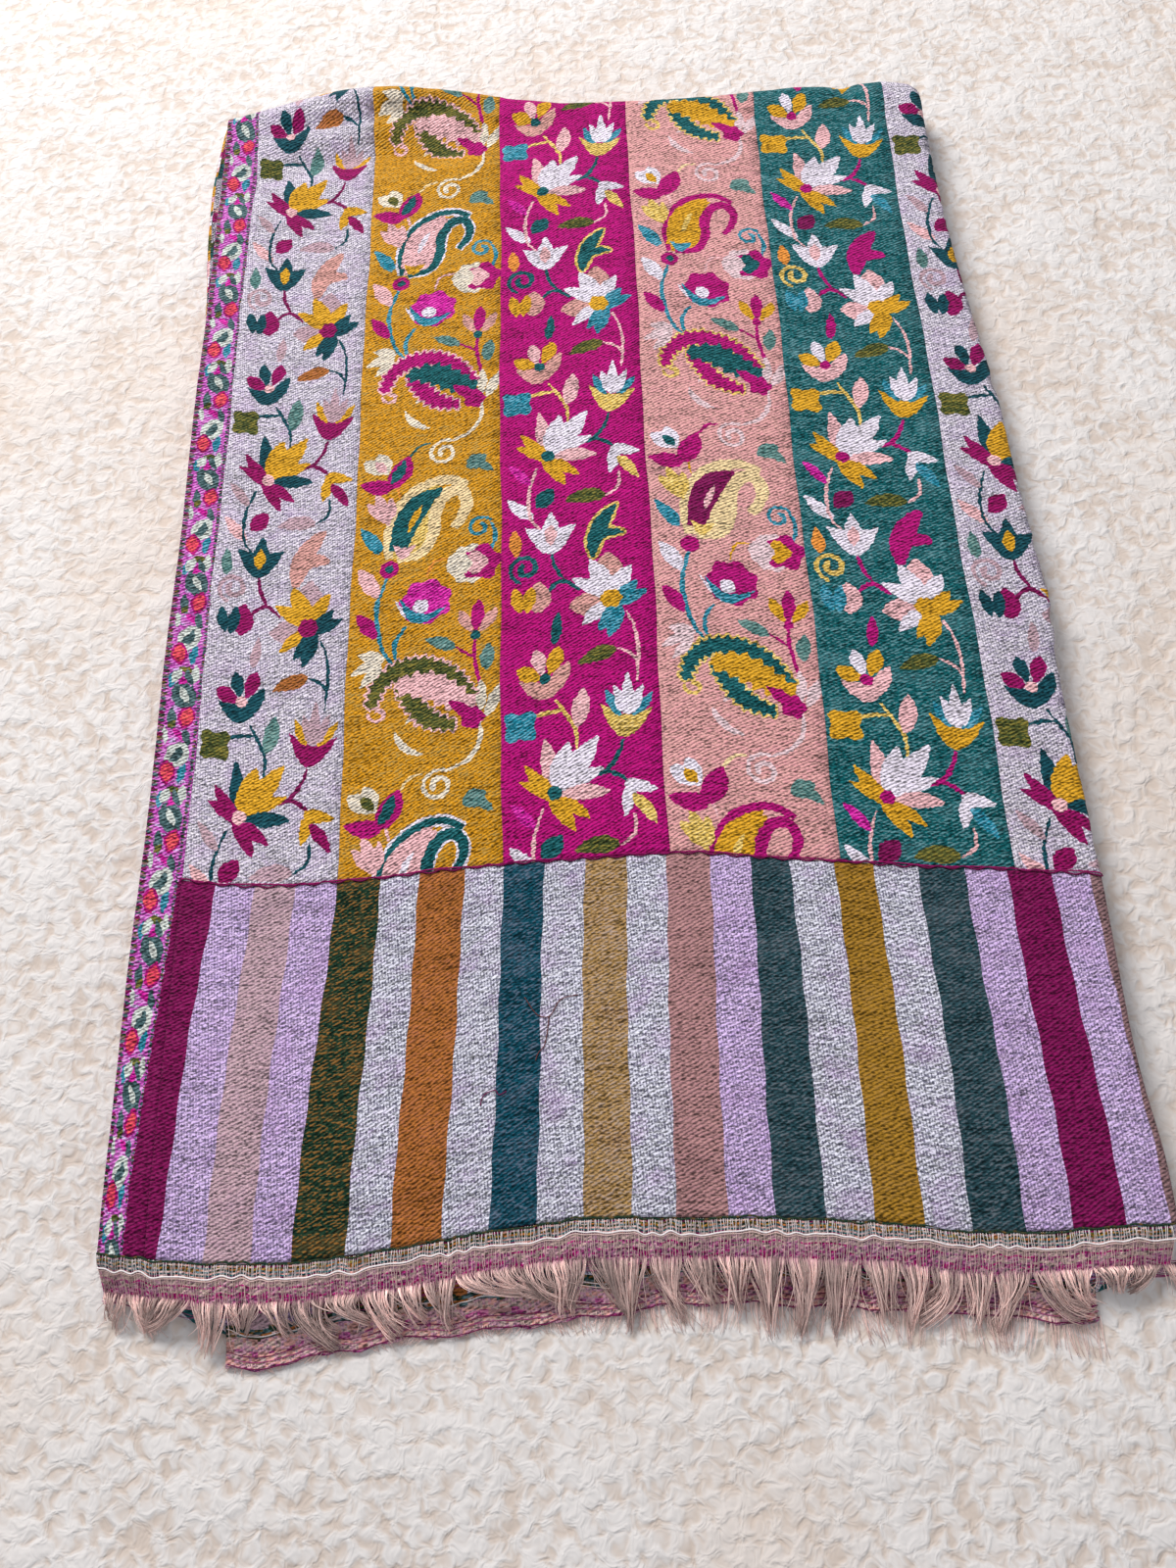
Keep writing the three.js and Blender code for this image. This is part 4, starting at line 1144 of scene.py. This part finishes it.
def side_folds(edge, way, lips, y, waves):
    """The folds up one side of the stack from its middle: each an arc, then a groove towards the next. A
    fold strays by two sines over y, whose lengths and shifts are given."""
    slow, slow_shift, quick, quick_shift = waves
    rows = [(edge + way * (LIP_OUT + 2 * GROOVE), 0, 0, "band")]
    for start, end, inset, yarn in lips:
        stray = inset + 0.5 * np.sin(y / slow + slow_shift * start)
        stray = np.maximum(stray + 0.3 * np.sin(y / quick + quick_shift * start), 0)
        for angle in np.linspace(-0.5, 0.5, 7) * np.pi:
            share = mix(start, end, (1 + math.sin(angle)) / 2)
            rows.append((edge + way * (stray + LIP_OUT * (1 - math.cos(angle))), share, share, yarn))
        rows.append((edge + way * (stray + LIP_OUT + GROOVE), end + 0.01, end + 0.01, yarn))
    return rows


def half_section(left, right, down, y):
    """Half of the hidden layers' section, from the left middle over the top to the right middle: for each
    point its x, its share of the radius and of the depth, and its yarn or None for the column's."""
    rows = side_folds(left, 1, LEFT_LIPS, y, (37, 9, 13, 20))
    rows.append((left + GROOVE, 1, 1, "field_mustard"))
    inner = np.maximum(FIELD_LEFT, left + 4 * GROOVE)
    rows += [(mix(inner, right - LIP_OUT, t), 1, 1, None) for t in np.linspace(0, 1, 25)]
    for angle in np.linspace(0, np.pi, 7)[1:]:
        out = right - LIP_OUT + (LIP_OUT - down) * math.sin(angle)
        rows.append((out, 1 - LIP_SHARE + LIP_SHARE * math.cos(angle), math.cos(angle), "field_white"))
    return rows + side_folds(right, -1, RIGHT_LIPS, y, (41, 7, 11, 15))[::-1]


def part_way(near, far, t, moved=0.0):
    """The line at a share t from one line, moved along y, to another."""
    return lambda x: mix(near(x) + moved, far(x), t)


def section_ring(line, inset, cover, upper, turn, down):
    """Points of the section over a line: its half above or under the middle plane, turned round it at the
    back fold. Under the open cloth it follows that cloth's creases down."""
    left = left_x(line(BAND_LEFT)) + inset
    right = right_x(line(FOLD_X)) - inset / 2
    section = half_section(left, right, down, float(line(0.0)))
    at, share, deep = np.array([[float(value) for value in row[:3]] for row in section]).T
    x = np.minimum(at, right - LIP_OUT)
    y = line(x)
    middle = middle_height(x, y)
    radius = face_height(x, y) - cover - middle if upper else middle
    rise = radius * share - down * deep
    if upper and not cover:
        rise = rise + np.minimum(relief(x, y), 0) * np.maximum(deep, 0)
    return np.stack([at, y + rise * math.sin(turn), middle + rise * math.cos(turn)], 1)


def layer_yarns(grid):
    """Yarns of the hidden layers' faces: the folds' own, the columns' on top, and motifs along the folds."""
    names = [row[3] for row in half_section(BAND_LEFT, FOLD_X, 0, 0)]
    column = np.clip(np.searchsorted(COLUMN_EDGES, grid[0, :, 0]) - 1, 0, len(COLUMNS) - 1)
    rows = numbers_of(name or COLUMNS[place][1] for name, place in zip(names, column))[1:]
    yarns = np.tile(rows, (len(grid) - 1, 1))
    y = grid[:-1, 1:, 1]
    spread = y + 40 * np.arange(len(rows))
    folded = np.isin(rows, numbers_of(("field_mustard", "field_white")))
    for yarn, pitch, phase in LIP_MOTIFS:
        bloom = np.sin(spread / pitch + phase) * np.sin(y / (2.7 * pitch) + phase * 3) > 0.55
        yarns[bloom & folded] = number_of(yarn)
    return np.concatenate([yarns.ravel(), rows])


def folded_layers():
    """The layers inside. Rings of the upper half run from the front slope to the back fold, turn round it
    and come back as the lower half on the floor, and a wall closes the front."""
    lines = []
    for t in FRONT_ROWS:
        cover = 2 * UNDER + SLOPE_SLACK * math.sin(math.pi * t)
        lines.append((part_way(hem_y, floor_y, t, -GAP), SLOPE_INSET * t * t, cover))
    lines += [(part_way(hem_y, seam_y, t), 0, 0) for t in np.linspace(0, 1, 31)]
    lines += [(part_way(seam_y, back_y, t, GAP), 0, 0) for t in np.linspace(0, 1, 121)[1:]]
    turns = [*np.linspace(0, BACK_WRAP, 9)[1:], STEP_OUT]
    grid = np.array([
        *(section_ring(*line, True, 0, 0 if line[2] else UNDER) for line in lines),
        *(section_ring(back_y, 0, 0, True, turn, UNDER) for turn in turns),
        section_ring(back_y, 0, 0, False, STEP_OUT + STEP_TURN, 0),
        *(section_ring(*line, False, math.pi, 0) for line in lines[::-1]),
    ])
    count, across = grid.shape[:2]
    first, last = np.arange(across), np.arange(across) + across * (count - 1)
    front = np.stack([last[:-1], last[1:], first[1:], first[:-1]], 1)
    faces = np.concatenate([grid_faces(count, across), front])
    uv = np.stack([lengths(grid, 1), lengths(grid, 0)], -1)
    piece = cloth_piece("folded_layers", grid, faces, uv, layer_yarns(grid), "layers", "folded_stack", 0)
    weld = piece.modifiers.new("closed seams", "WELD")
    weld.merge_threshold = 0.00001


def hem_wave(x):
    """The hem's puckers: how far its rows stray outwards."""
    fast = 0.22 * np.sin(x / 1.1 + 2.4 * np.sin(x / 9)) * (1 + 0.8 * np.sin(x / 5.3))
    return fast + 0.30 * np.sin(x / 3.1 + 1.9 * np.sin(x / 12)) + 0.4 * np.sin(x / 8.7)


def dashed(rows, level, x):
    """The yarns along x of the row that holds a level: each dash takes one of the row's yarns by chance."""
    row = next(row for row in rows if row[0] <= level <= row[1])
    dash = ((x - x[0] + chance.uniform(0, 9)) / row[2]).astype(int)
    choice = numbers_of(row[3])
    return choice[chance.integers(0, len(choice), dash.max() + 1)[dash]]


def hem_rows():
    """The woven rows outwards from the hem, from dark dashes to the magenta weft, ragged at their end."""
    levels = [0.0]
    for start, end, *_ in HEM_ROWS:
        levels += list(np.linspace(start, end, max(int((end - start) / HEM_STEP), 1) + 1)[1:])
    levels = np.array(levels[::-1])
    x = np.arange(BAND_LEFT, 163.4, 0.6)
    out = levels[:, None]
    ragged = (0.7 * np.sin(x / 2.1 + np.sin(x / 5)) + 0.6 * np.sin(x / 6.3)) * np.clip((out - 8) / 4.6, 0, 1)
    y = hem_y(x) - GAP * 0.5 - out - hem_wave(x) * np.clip(out / 2, 0.35, 1) - ragged
    height = face_height(x, y) - 0.1 + 0.15 * np.sin(x / 0.9 + out) * np.clip(out / 4, 0, 1)
    points = np.stack([np.broadcast_to(x, y.shape), y, height], -1)
    yarns = np.array([dashed(HEM_ROWS, level, x[:-1]) for level in (levels[:-1] + levels[1:]) / 2])
    faces, uv = grid_faces(*y.shape), points[..., :2]
    return cloth_piece("hem_rows", points, faces, uv, yarns, "fringe", "fringe_top", 0.7)


def tubes(paths, radius, sides=3):
    """Thin round threads. paths is threads x points x 3 and radius threads x points; each point carries a
    ring across its path, and the ends are closed."""
    ahead = np.gradient(paths, axis=1)
    ahead = ahead / np.linalg.norm(ahead, axis=2, keepdims=True)
    side = np.cross(ahead, (0, 0, 1))
    side = side / np.maximum(np.linalg.norm(side, axis=2, keepdims=True), 1e-6)
    up = np.cross(side, ahead)
    angle = np.arange(sides) * 2 * np.pi / sides + np.pi / 2
    ring = side[:, :, None] * np.cos(angle)[:, None] + up[:, :, None] * np.sin(angle)[:, None]
    points = paths[:, :, None] + ring * radius[:, :, None, None]
    count, length = paths.shape[:2]
    number = np.arange(count * length * sides).reshape(count, length, sides)
    a, b = number[:, :-1], number[:, 1:]
    walls = np.stack([a, np.roll(a, -1, 2), np.roll(b, -1, 2), b], -1).reshape(-1, 4)
    caps = [number[:, 0, ::-1].reshape(-1, sides), number[:, -1].reshape(-1, sides)]
    return points.reshape(-1, 3), [*walls.tolist(), *np.concatenate(caps).tolist()]


def thread_piece(name, places, paths, radius, yarn, sides=3, tone=None):
    """Threads as one mesh, with a yarn number for each point of each path. places is the slot and the
    node that it replaces, if there is one."""
    points, faces = tubes(paths, radius, sides)
    piece = new_mesh(name, to_frame(points), faces, yarn_look)
    count, length = paths.shape[:2]

    def on_rings(values):
        """A value for each point of each ring."""
        return np.repeat(np.broadcast_to(values, (count, length)).ravel(), sides)

    uv = np.stack([on_rings(np.arange(count)[:, None] * 3.0), on_rings(lengths(paths, 1))], 1)
    colour_corners(piece, uv, on_rings(yarn), False, None if tone is None else on_rings(tone))
    belongs(piece, *places)
    return piece


LOCK_PITCH = 10.4
LOCK_ROOT = 10.8
FRINGE_RIGHT = 165
STRANDS = 2700
STRAND_POINTS = 9
LOOSE_SHARE = 0.09
# How far the locks' tips lean to the right of their roots
LOCK_SWEEP = ((-171, 0), (-120, 1), (-84, 9), (-50, 11), (-16, 7), (20, 1), (60, -1), (100, 3), (166, 1))
BUNDLE = 0.62  # strands so close together share a wave and a tone, which paints shade and highlight between bundles as well as their own tone
lock_sweep = through(LOCK_SWEEP)
AT_FRINGE = ("fringe", "fringe_top")


def fringe_strands():
    """Fine strands in locks: each leaves the weft's edge, runs beside its neighbours along its lock's curve,
    draws in towards the lock's tip and falls to the floor line."""
    middles = np.arange(BAND_LEFT + 3, FRINGE_RIGHT + 1, LOCK_PITCH)
    middles = middles + chance.uniform(-3.0, 3.0, len(middles))
    root = np.sort(chance.uniform(BAND_LEFT + 0.5, FRINGE_RIGHT, STRANDS))
    bundle = ((root - BAND_LEFT) / BUNDLE).astype(int)

    def by_bundle(draw, *spread):
        """One value by chance for each bundle, which its strands share."""
        return draw(*spread, bundle[-1] + 1)[bundle]

    lock = np.searchsorted((middles[1:] + middles[:-1]) / 2, root + by_bundle(chance.normal, 0, 1.2))

    def by_lock(draw, *spread):
        """One value by chance for each lock, which its strands share."""
        return draw(*spread, len(middles))[lock]

    side = root - middles[lock]
    sweep = lock_sweep(middles)[lock] + by_lock(chance.normal, 0, 3.6)
    rise = by_lock(chance.uniform, 0.2, 2.6)
    long = by_lock(chance.uniform, 0.62, 1.08)
    # each lock's own tone, spread lighter so that some locks carry a painted highlight
    lock_tone_and_highlight = by_lock(chance.uniform, 0.84, 1.20)
    loose = chance.random(STRANDS) < LOOSE_SHARE
    t = np.linspace(0, 1, STRAND_POINTS)[:, None]
    gather = chance.uniform(0.85, 1.0, STRANDS) * by_lock(chance.uniform, 0.56, 0.88)
    width = 1 - np.where(loose, 0.1, gather) * smooth(t)
    own = np.where(loose, chance.normal(0, 3.4, STRANDS), chance.normal(0, 0.25, STRANDS))
    own = own + by_bundle(chance.normal, 0, 0.5)
    x = middles[lock] + side * width + (sweep + own) * t ** 2.6
    x = x + 0.14 * np.sin(7 * t + chance.uniform(0, 6, STRANDS))
    x = x + t * by_lock(chance.normal, 0, 0.9) * np.sin(5 * t)
    reach = (fringe_length(root) - 3) * long * by_bundle(chance.uniform, 0.6, 1.04)
    reach = reach * chance.uniform(0.9, 1.05, STRANDS)
    straight = 1 - 0.16 * (np.abs(sweep) / 9) * t * t
    y = hem_y(root) - LOCK_ROOT - reach * t * straight
    domed = np.sqrt(np.maximum(0.0, 1 - (side / 6.5) ** 2)) * 1.5 * (1 - 0.4 * t)
    lift = rise * np.sin(np.pi * t) + domed * np.minimum(4 * t, 1) + chance.uniform(-0.3, 0.3, STRANDS)
    lift = lift + by_bundle(chance.normal, 0, 0.35) * np.minimum(3 * t, 1)
    beyond = np.clip((floor_y(x) - y) / 7, 0, 1)
    z = np.maximum(face_height(x, y) - 0.6 + lift - 2.2 * beyond, 0.4)
    radius = np.broadcast_to(0.165 * (1 - 0.45 * t), x.shape)
    from_weft = t < chance.uniform(0.0, 0.16, STRANDS)
    yarn = np.where(from_weft, number_of("fringe_root"), number_of("fringe"))
    # the bundles' tones paint shade in the gaps between strands and highlight on lit strands, on top of their
    # own tone
    strand_shade_and_highlight = by_bundle(chance.uniform, 0.48, 1.34) * chance.uniform(0.9, 1.1, STRANDS)
    paths = np.stack([x.T, y.T, z.T], -1)
    tone = (lock_tone_and_highlight * strand_shade_and_highlight)[:, None]
    return thread_piece("top_fringe_strands", AT_FRINGE, paths, radius.T, yarn.T, tone=tone)


def warp_threads():
    """The warp over the hem's rows, from the hem to the fringe's roots."""
    count = 400
    x = np.linspace(BAND_LEFT + 0.4, 163, count)[:, None] + chance.uniform(-0.25, 0.25, (count, 1))
    t = np.linspace(0, 1, 9)[None, :]
    x = x + 0.25 * np.sin(6 * t + chance.uniform(0, 6, (count, 1)))
    y = hem_y(x) - 0.3 - (12.6 * t + hem_wave(x) * np.minimum(3 * t, 1))
    z = face_height(x, y) + 0.12 * np.sin(t * 40 + np.arange(count)[:, None] * np.pi) + 0.02
    yarn = np.where(t < 0.36, number_of("white_thread"), number_of("fringe"))
    tone = chance.uniform(0.6, 1.1, (count, 1))
    radius = np.full(x.shape, 0.14)
    return thread_piece("warp_threads", AT_FRINGE, np.stack([x, y, z], -1), radius, yarn, tone=tone)


# Threads along the two hems: how far along y, sway by the hem's puckers, lift, radius and yarn
EDGE_THREADS = (
    (0.1, -0.9, 0.1, 0.3, "dark_green"), (-4.2, -1.3, 0.25, 0.24, "white_thread"),
    (-4.8, -1.1, 0.2, 0.14, "fringe"),
)
LOWER_THREADS = (
    (0.2, 0.5, 0.2, 0.2, "wine"), (2.1, 0.4, 0.2, 0.17, "weft"), (3.6, 0.5, 0.2, 0.17, "wine"),
    (9.6, 1.2, 0.2, 0.24, "white_thread"),
)


def along_hem(name, places, table, x, line, wave, face, sides=3):
    """A table's threads along a hem: beside a line, swayed by a wave and lifted from a face."""
    off, sway, lift, radius = np.array([row[:4] for row in table]).T[:, :, None]
    y = line + off + sway * wave
    paths = np.stack([np.broadcast_to(x, y.shape), y, face(x, y) + lift], -1)
    yarn = numbers_of(row[4] for row in table)[:, None]
    return thread_piece(name, places, paths, np.broadcast_to(radius, y.shape), yarn, sides)


def edge_threads():
    """The thick threads of the hem: dark green along its edge, and a white one that runs in sharp waves."""
    x = np.linspace(BAND_LEFT, 164, 1100)
    return along_hem(
        "edge_threads", AT_FRINGE, EDGE_THREADS, x, hem_y(x) - 0.2, hem_wave(x), face_height, 4
    )


def weft_threads():
    """Loose weft threads at the fringe's roots, magenta and partly unravelled."""
    count, length = 7, 260
    row = np.linspace(0, 1, count)[:, None]
    x = mix(BAND_LEFT, 165.0, np.linspace(0, 1, length))[None, :] + chance.uniform(-0.4, 0.4, (count, 1))
    out = 10.6 + 4.4 * row + 0.9 * np.sin(x / 9 + row * 5) + 0.4 * np.sin(x / 2.3 + 7 * row)
    y = hem_y(x) - out
    z = face_height(x, y) - 0.3 + 0.5 * np.sin(x / 5 + 3 * row) * row
    radius = 0.10 + 0.12 * np.clip(np.sin(x / 6.5 + 9 * row) + 0.4, 0, 1)
    return thread_piece("weft_threads", AT_FRINGE, np.stack([x, y, z], -1), radius, number_of("weft"))


def seam_thread():
    """The seam's wavy stitches: one overcast thread and its loops along the seam line."""
    x = np.linspace(BAND_LEFT + BAND_WIDTH, float(right_x(122)) + 3, 900)[None, :]
    stitches = on_top(x, seam_y(x) - 0.1 + 0.45 * np.sin(x / 1.3) + 0.2 * np.sin(x / 9), -0.35)
    stitches[..., 2] += 0.15 * np.sin(x / 0.65)
    beside = on_top(x, seam_y(x) + 0.3 * np.sin(x / 5 + 2) + 0.35, -0.25)
    paths = np.concatenate([stitches, beside])
    radius = np.broadcast_to([[0.30], [0.22]], paths.shape[:2])
    yarn = numbers_of(("wine", "magenta"))[:, None]
    return thread_piece("seam_thread", ("stripes",), paths, radius, yarn, 4)


LOOSE_THREADS = (
    # yarn, points
    ("brown_thread", ((-34.9, 85.5), (-30.7, 79.5), (-26.8, 78.7), (-22.8, 84.1), (-16.9, 85.5))),
    ("brown_thread", ((-26.8, 78.7), (-27.4, 74.0), (-28.6, 69.1), (-30.5, 67.0), (-31.5, 64.5))),
    ("wine", ((-49.5, 50.8), (-48.5, 53.8), (-44.7, 55.5), (-43.5, 54.0), (-41.0, 55.0))),
)


def loose_threads():
    """Short ends of thread lying on the striped end."""
    paths = []
    for _, points in LOOSE_THREADS:
        way = path(points, 0.1)
        way = way[np.linspace(0, len(way) - 1, 60).astype(int)]
        paths.append(on_top(way[:, 0], way[:, 1], -0.3))
    paths = np.array(paths)
    yarn = numbers_of(row[0] for row in LOOSE_THREADS)[:, None]
    return thread_piece("loose_threads", ("stripes",), paths, np.full(paths.shape[:2], 0.16), yarn, 4)


def hem_and_fringe():
    """The hem's woven rows, its threads and its fringe."""
    return [hem_rows(), warp_threads(), edge_threads(), weft_threads(), fringe_strands()]


def lower_strands():
    """The lower layer's short thin fringe on the floor, longer to the right."""
    count = 620
    root = np.sort(chance.uniform(UNDER_HEM_LEFT, UNDER_HEM_RIGHT, count))
    t = np.linspace(0, 1, 6)[None, :]
    lean = 1.8 * np.sin(root / 5) + chance.normal(0, 1.0, count)
    reach = mix(3.0, 11.0, smooth(np.clip((root + 60) / 110, 0, 1))) * chance.uniform(0.5, 1.15, count)
    x = root[:, None] + lean[:, None] * t * t
    y = (floor_y(root) + 0.6)[:, None] - reach[:, None] * t
    z = 1.1 - 0.6 * t + chance.uniform(-0.2, 0.3, (count, 1))
    radius = np.broadcast_to(0.13 * (1 - 0.4 * t), x.shape)
    places = ("fringe", "fringe_lower")
    tone = chance.uniform(0.8, 1.15, (count, 1))
    paths = np.stack([x, y, z], -1)
    return thread_piece("lower_fringe_strands", places, paths, radius, number_of("fringe"), tone=tone)


def lower_height(x, y):
    """Height of the lower layer's face, which comes down to lie on the floor."""
    return np.maximum(face_height(x, y) - UNDER, CLOTH)


def lower_hem():
    """The end of the layer below, from under the hem to its own hem on the floor: stripes, then rows."""
    x = np.arange(UNDER_HEM_LEFT, UNDER_HEM_RIGHT, 0.9)
    t = np.linspace(1, 0, 44)[:, None]
    outer = floor_y(x) - 1.2 + 0.5 * np.sin(x / 4.3) + 0.4 * np.sin(x / 1.7)
    y = mix(hem_y(x) - 2 * GAP, outer, t)
    z = lower_height(x, y) + 0.2 * np.sin(x / 2.4 + 2 * np.sin(x / 9)) * np.clip(t * 6, 0, 1)
    points = np.stack([np.broadcast_to(x, y.shape), y, z], -1)
    edges = np.array([row[1] + 6 for row in STRIPES])
    stripe = np.clip(np.searchsorted(edges, x[:-1]) - 1, 0, len(STRIPES) - 1)
    yarns = np.tile(numbers_of(row[2] for row in STRIPES)[stripe], (len(t) - 1, 1))
    inward = (y - outer)[:, :-1]
    for level in np.arange(LOWER_STEP / 2, LOWER_ROWS[-1][1], LOWER_STEP):
        here = np.abs((inward[:-1] + inward[1:]) / 2 - level) <= LOWER_STEP / 2
        yarns = np.where(here, dashed(LOWER_ROWS, level, x[:-1]), yarns)
    piece = cloth_piece("lower_hem", points, grid_faces(*y.shape), points[..., :2], yarns, "hem", "under_hem")
    pieces = [lower_strands(), lower_threads()]


def lower_threads():
    """Fine wine threads along the lower hem, and its white one further in."""
    x = np.linspace(UNDER_HEM_LEFT + 0.5, UNDER_HEM_RIGHT - 0.5, 900)
    line = floor_y(x) - 0.9 + 0.5 * np.sin(x / 4.3)
    return along_hem("lower_hem_threads", ("hem",), LOWER_THREADS, x, line, hem_wave(x + 40), lower_height)


FLOOR_CORNERS = ((-3.0, -3.0, 0.0), (3.0, -3.0, 0.0), (3.0, 3.0, 0.0), (-3.0, 3.0, 0.0))
CAMERA_TURNS = (67.4, 6.21, 4.06)  # pitch, roll and yaw in degrees
CAMERA_HEIGHT = 402.5
LENS = 27.02  # for a picture 36 mm high


def add_camera():
    """The camera that was fitted to the photo: above the hem's middle, looking down over the shawl."""
    pitch, roll, yaw = (math.radians(angle) for angle in CAMERA_TURNS)
    turn = Matrix.Rotation(yaw, 3, "Z")
    right = Vector((math.cos(roll), -math.sin(pitch) * math.sin(roll), -math.cos(pitch) * math.sin(roll)))
    down = Vector((-math.sin(roll), -math.sin(pitch) * math.cos(roll), -math.cos(pitch) * math.cos(roll)))
    ahead = Vector((0, math.cos(pitch), -math.sin(pitch)))
    axes = [turn @ right, turn @ -down, turn @ -ahead]
    lens = bpy.data.cameras.new("camera")
    lens.lens = LENS
    lens.sensor_width = 36
    lens.clip_start = 0.01
    camera = placed("camera", lens)
    camera.matrix_world = Matrix(axes).transposed().to_4x4()
    camera.location = to_frame((0, 0, CAMERA_HEIGHT)).tolist()
    bpy.context.scene.camera = camera


def add_light(name, place, size, power, colour):
    """A round lamp that faces the shawl."""
    lamp = bpy.data.lights.new(name, "AREA")
    lamp.shape = "DISK"
    lamp.size = size
    lamp.energy = power
    lamp.color = colour
    light = placed(name, lamp)
    light.location = place
    light.rotation_euler = (-Vector(place)).to_track_quat("-Z", "Y").to_euler()


def add_lights():
    """Soft daylight: an even sky, a wide window high at the back left and the room's own light."""
    world = bpy.data.worlds.new("sky")
    world.use_nodes = True
    sky = world.node_tree.nodes["Background"]
    sky.inputs["Color"].default_value = (0.93, 0.96, 1.0, 1.0)
    sky.inputs["Strength"].default_value = 0.34
    bpy.context.scene.world = world
    add_light("window", (-0.8, 1.2, 1.2), 0.8, 39, (1.0, 0.98, 0.95))
    add_light("room", (0.7, -0.8, 1.4), 1.6, 4, (0.96, 0.98, 1.0))
    bpy.context.scene.view_settings.view_transform = "Standard"


add_camera()
folded_layers()
flowered_columns()
selvedge_band()
striped_end()
lower_hem()
seam_thread()
loose_threads()
floor = new_mesh("floor", FLOOR_CORNERS, [(0, 1, 2, 3)], floor_look)
add_lights()
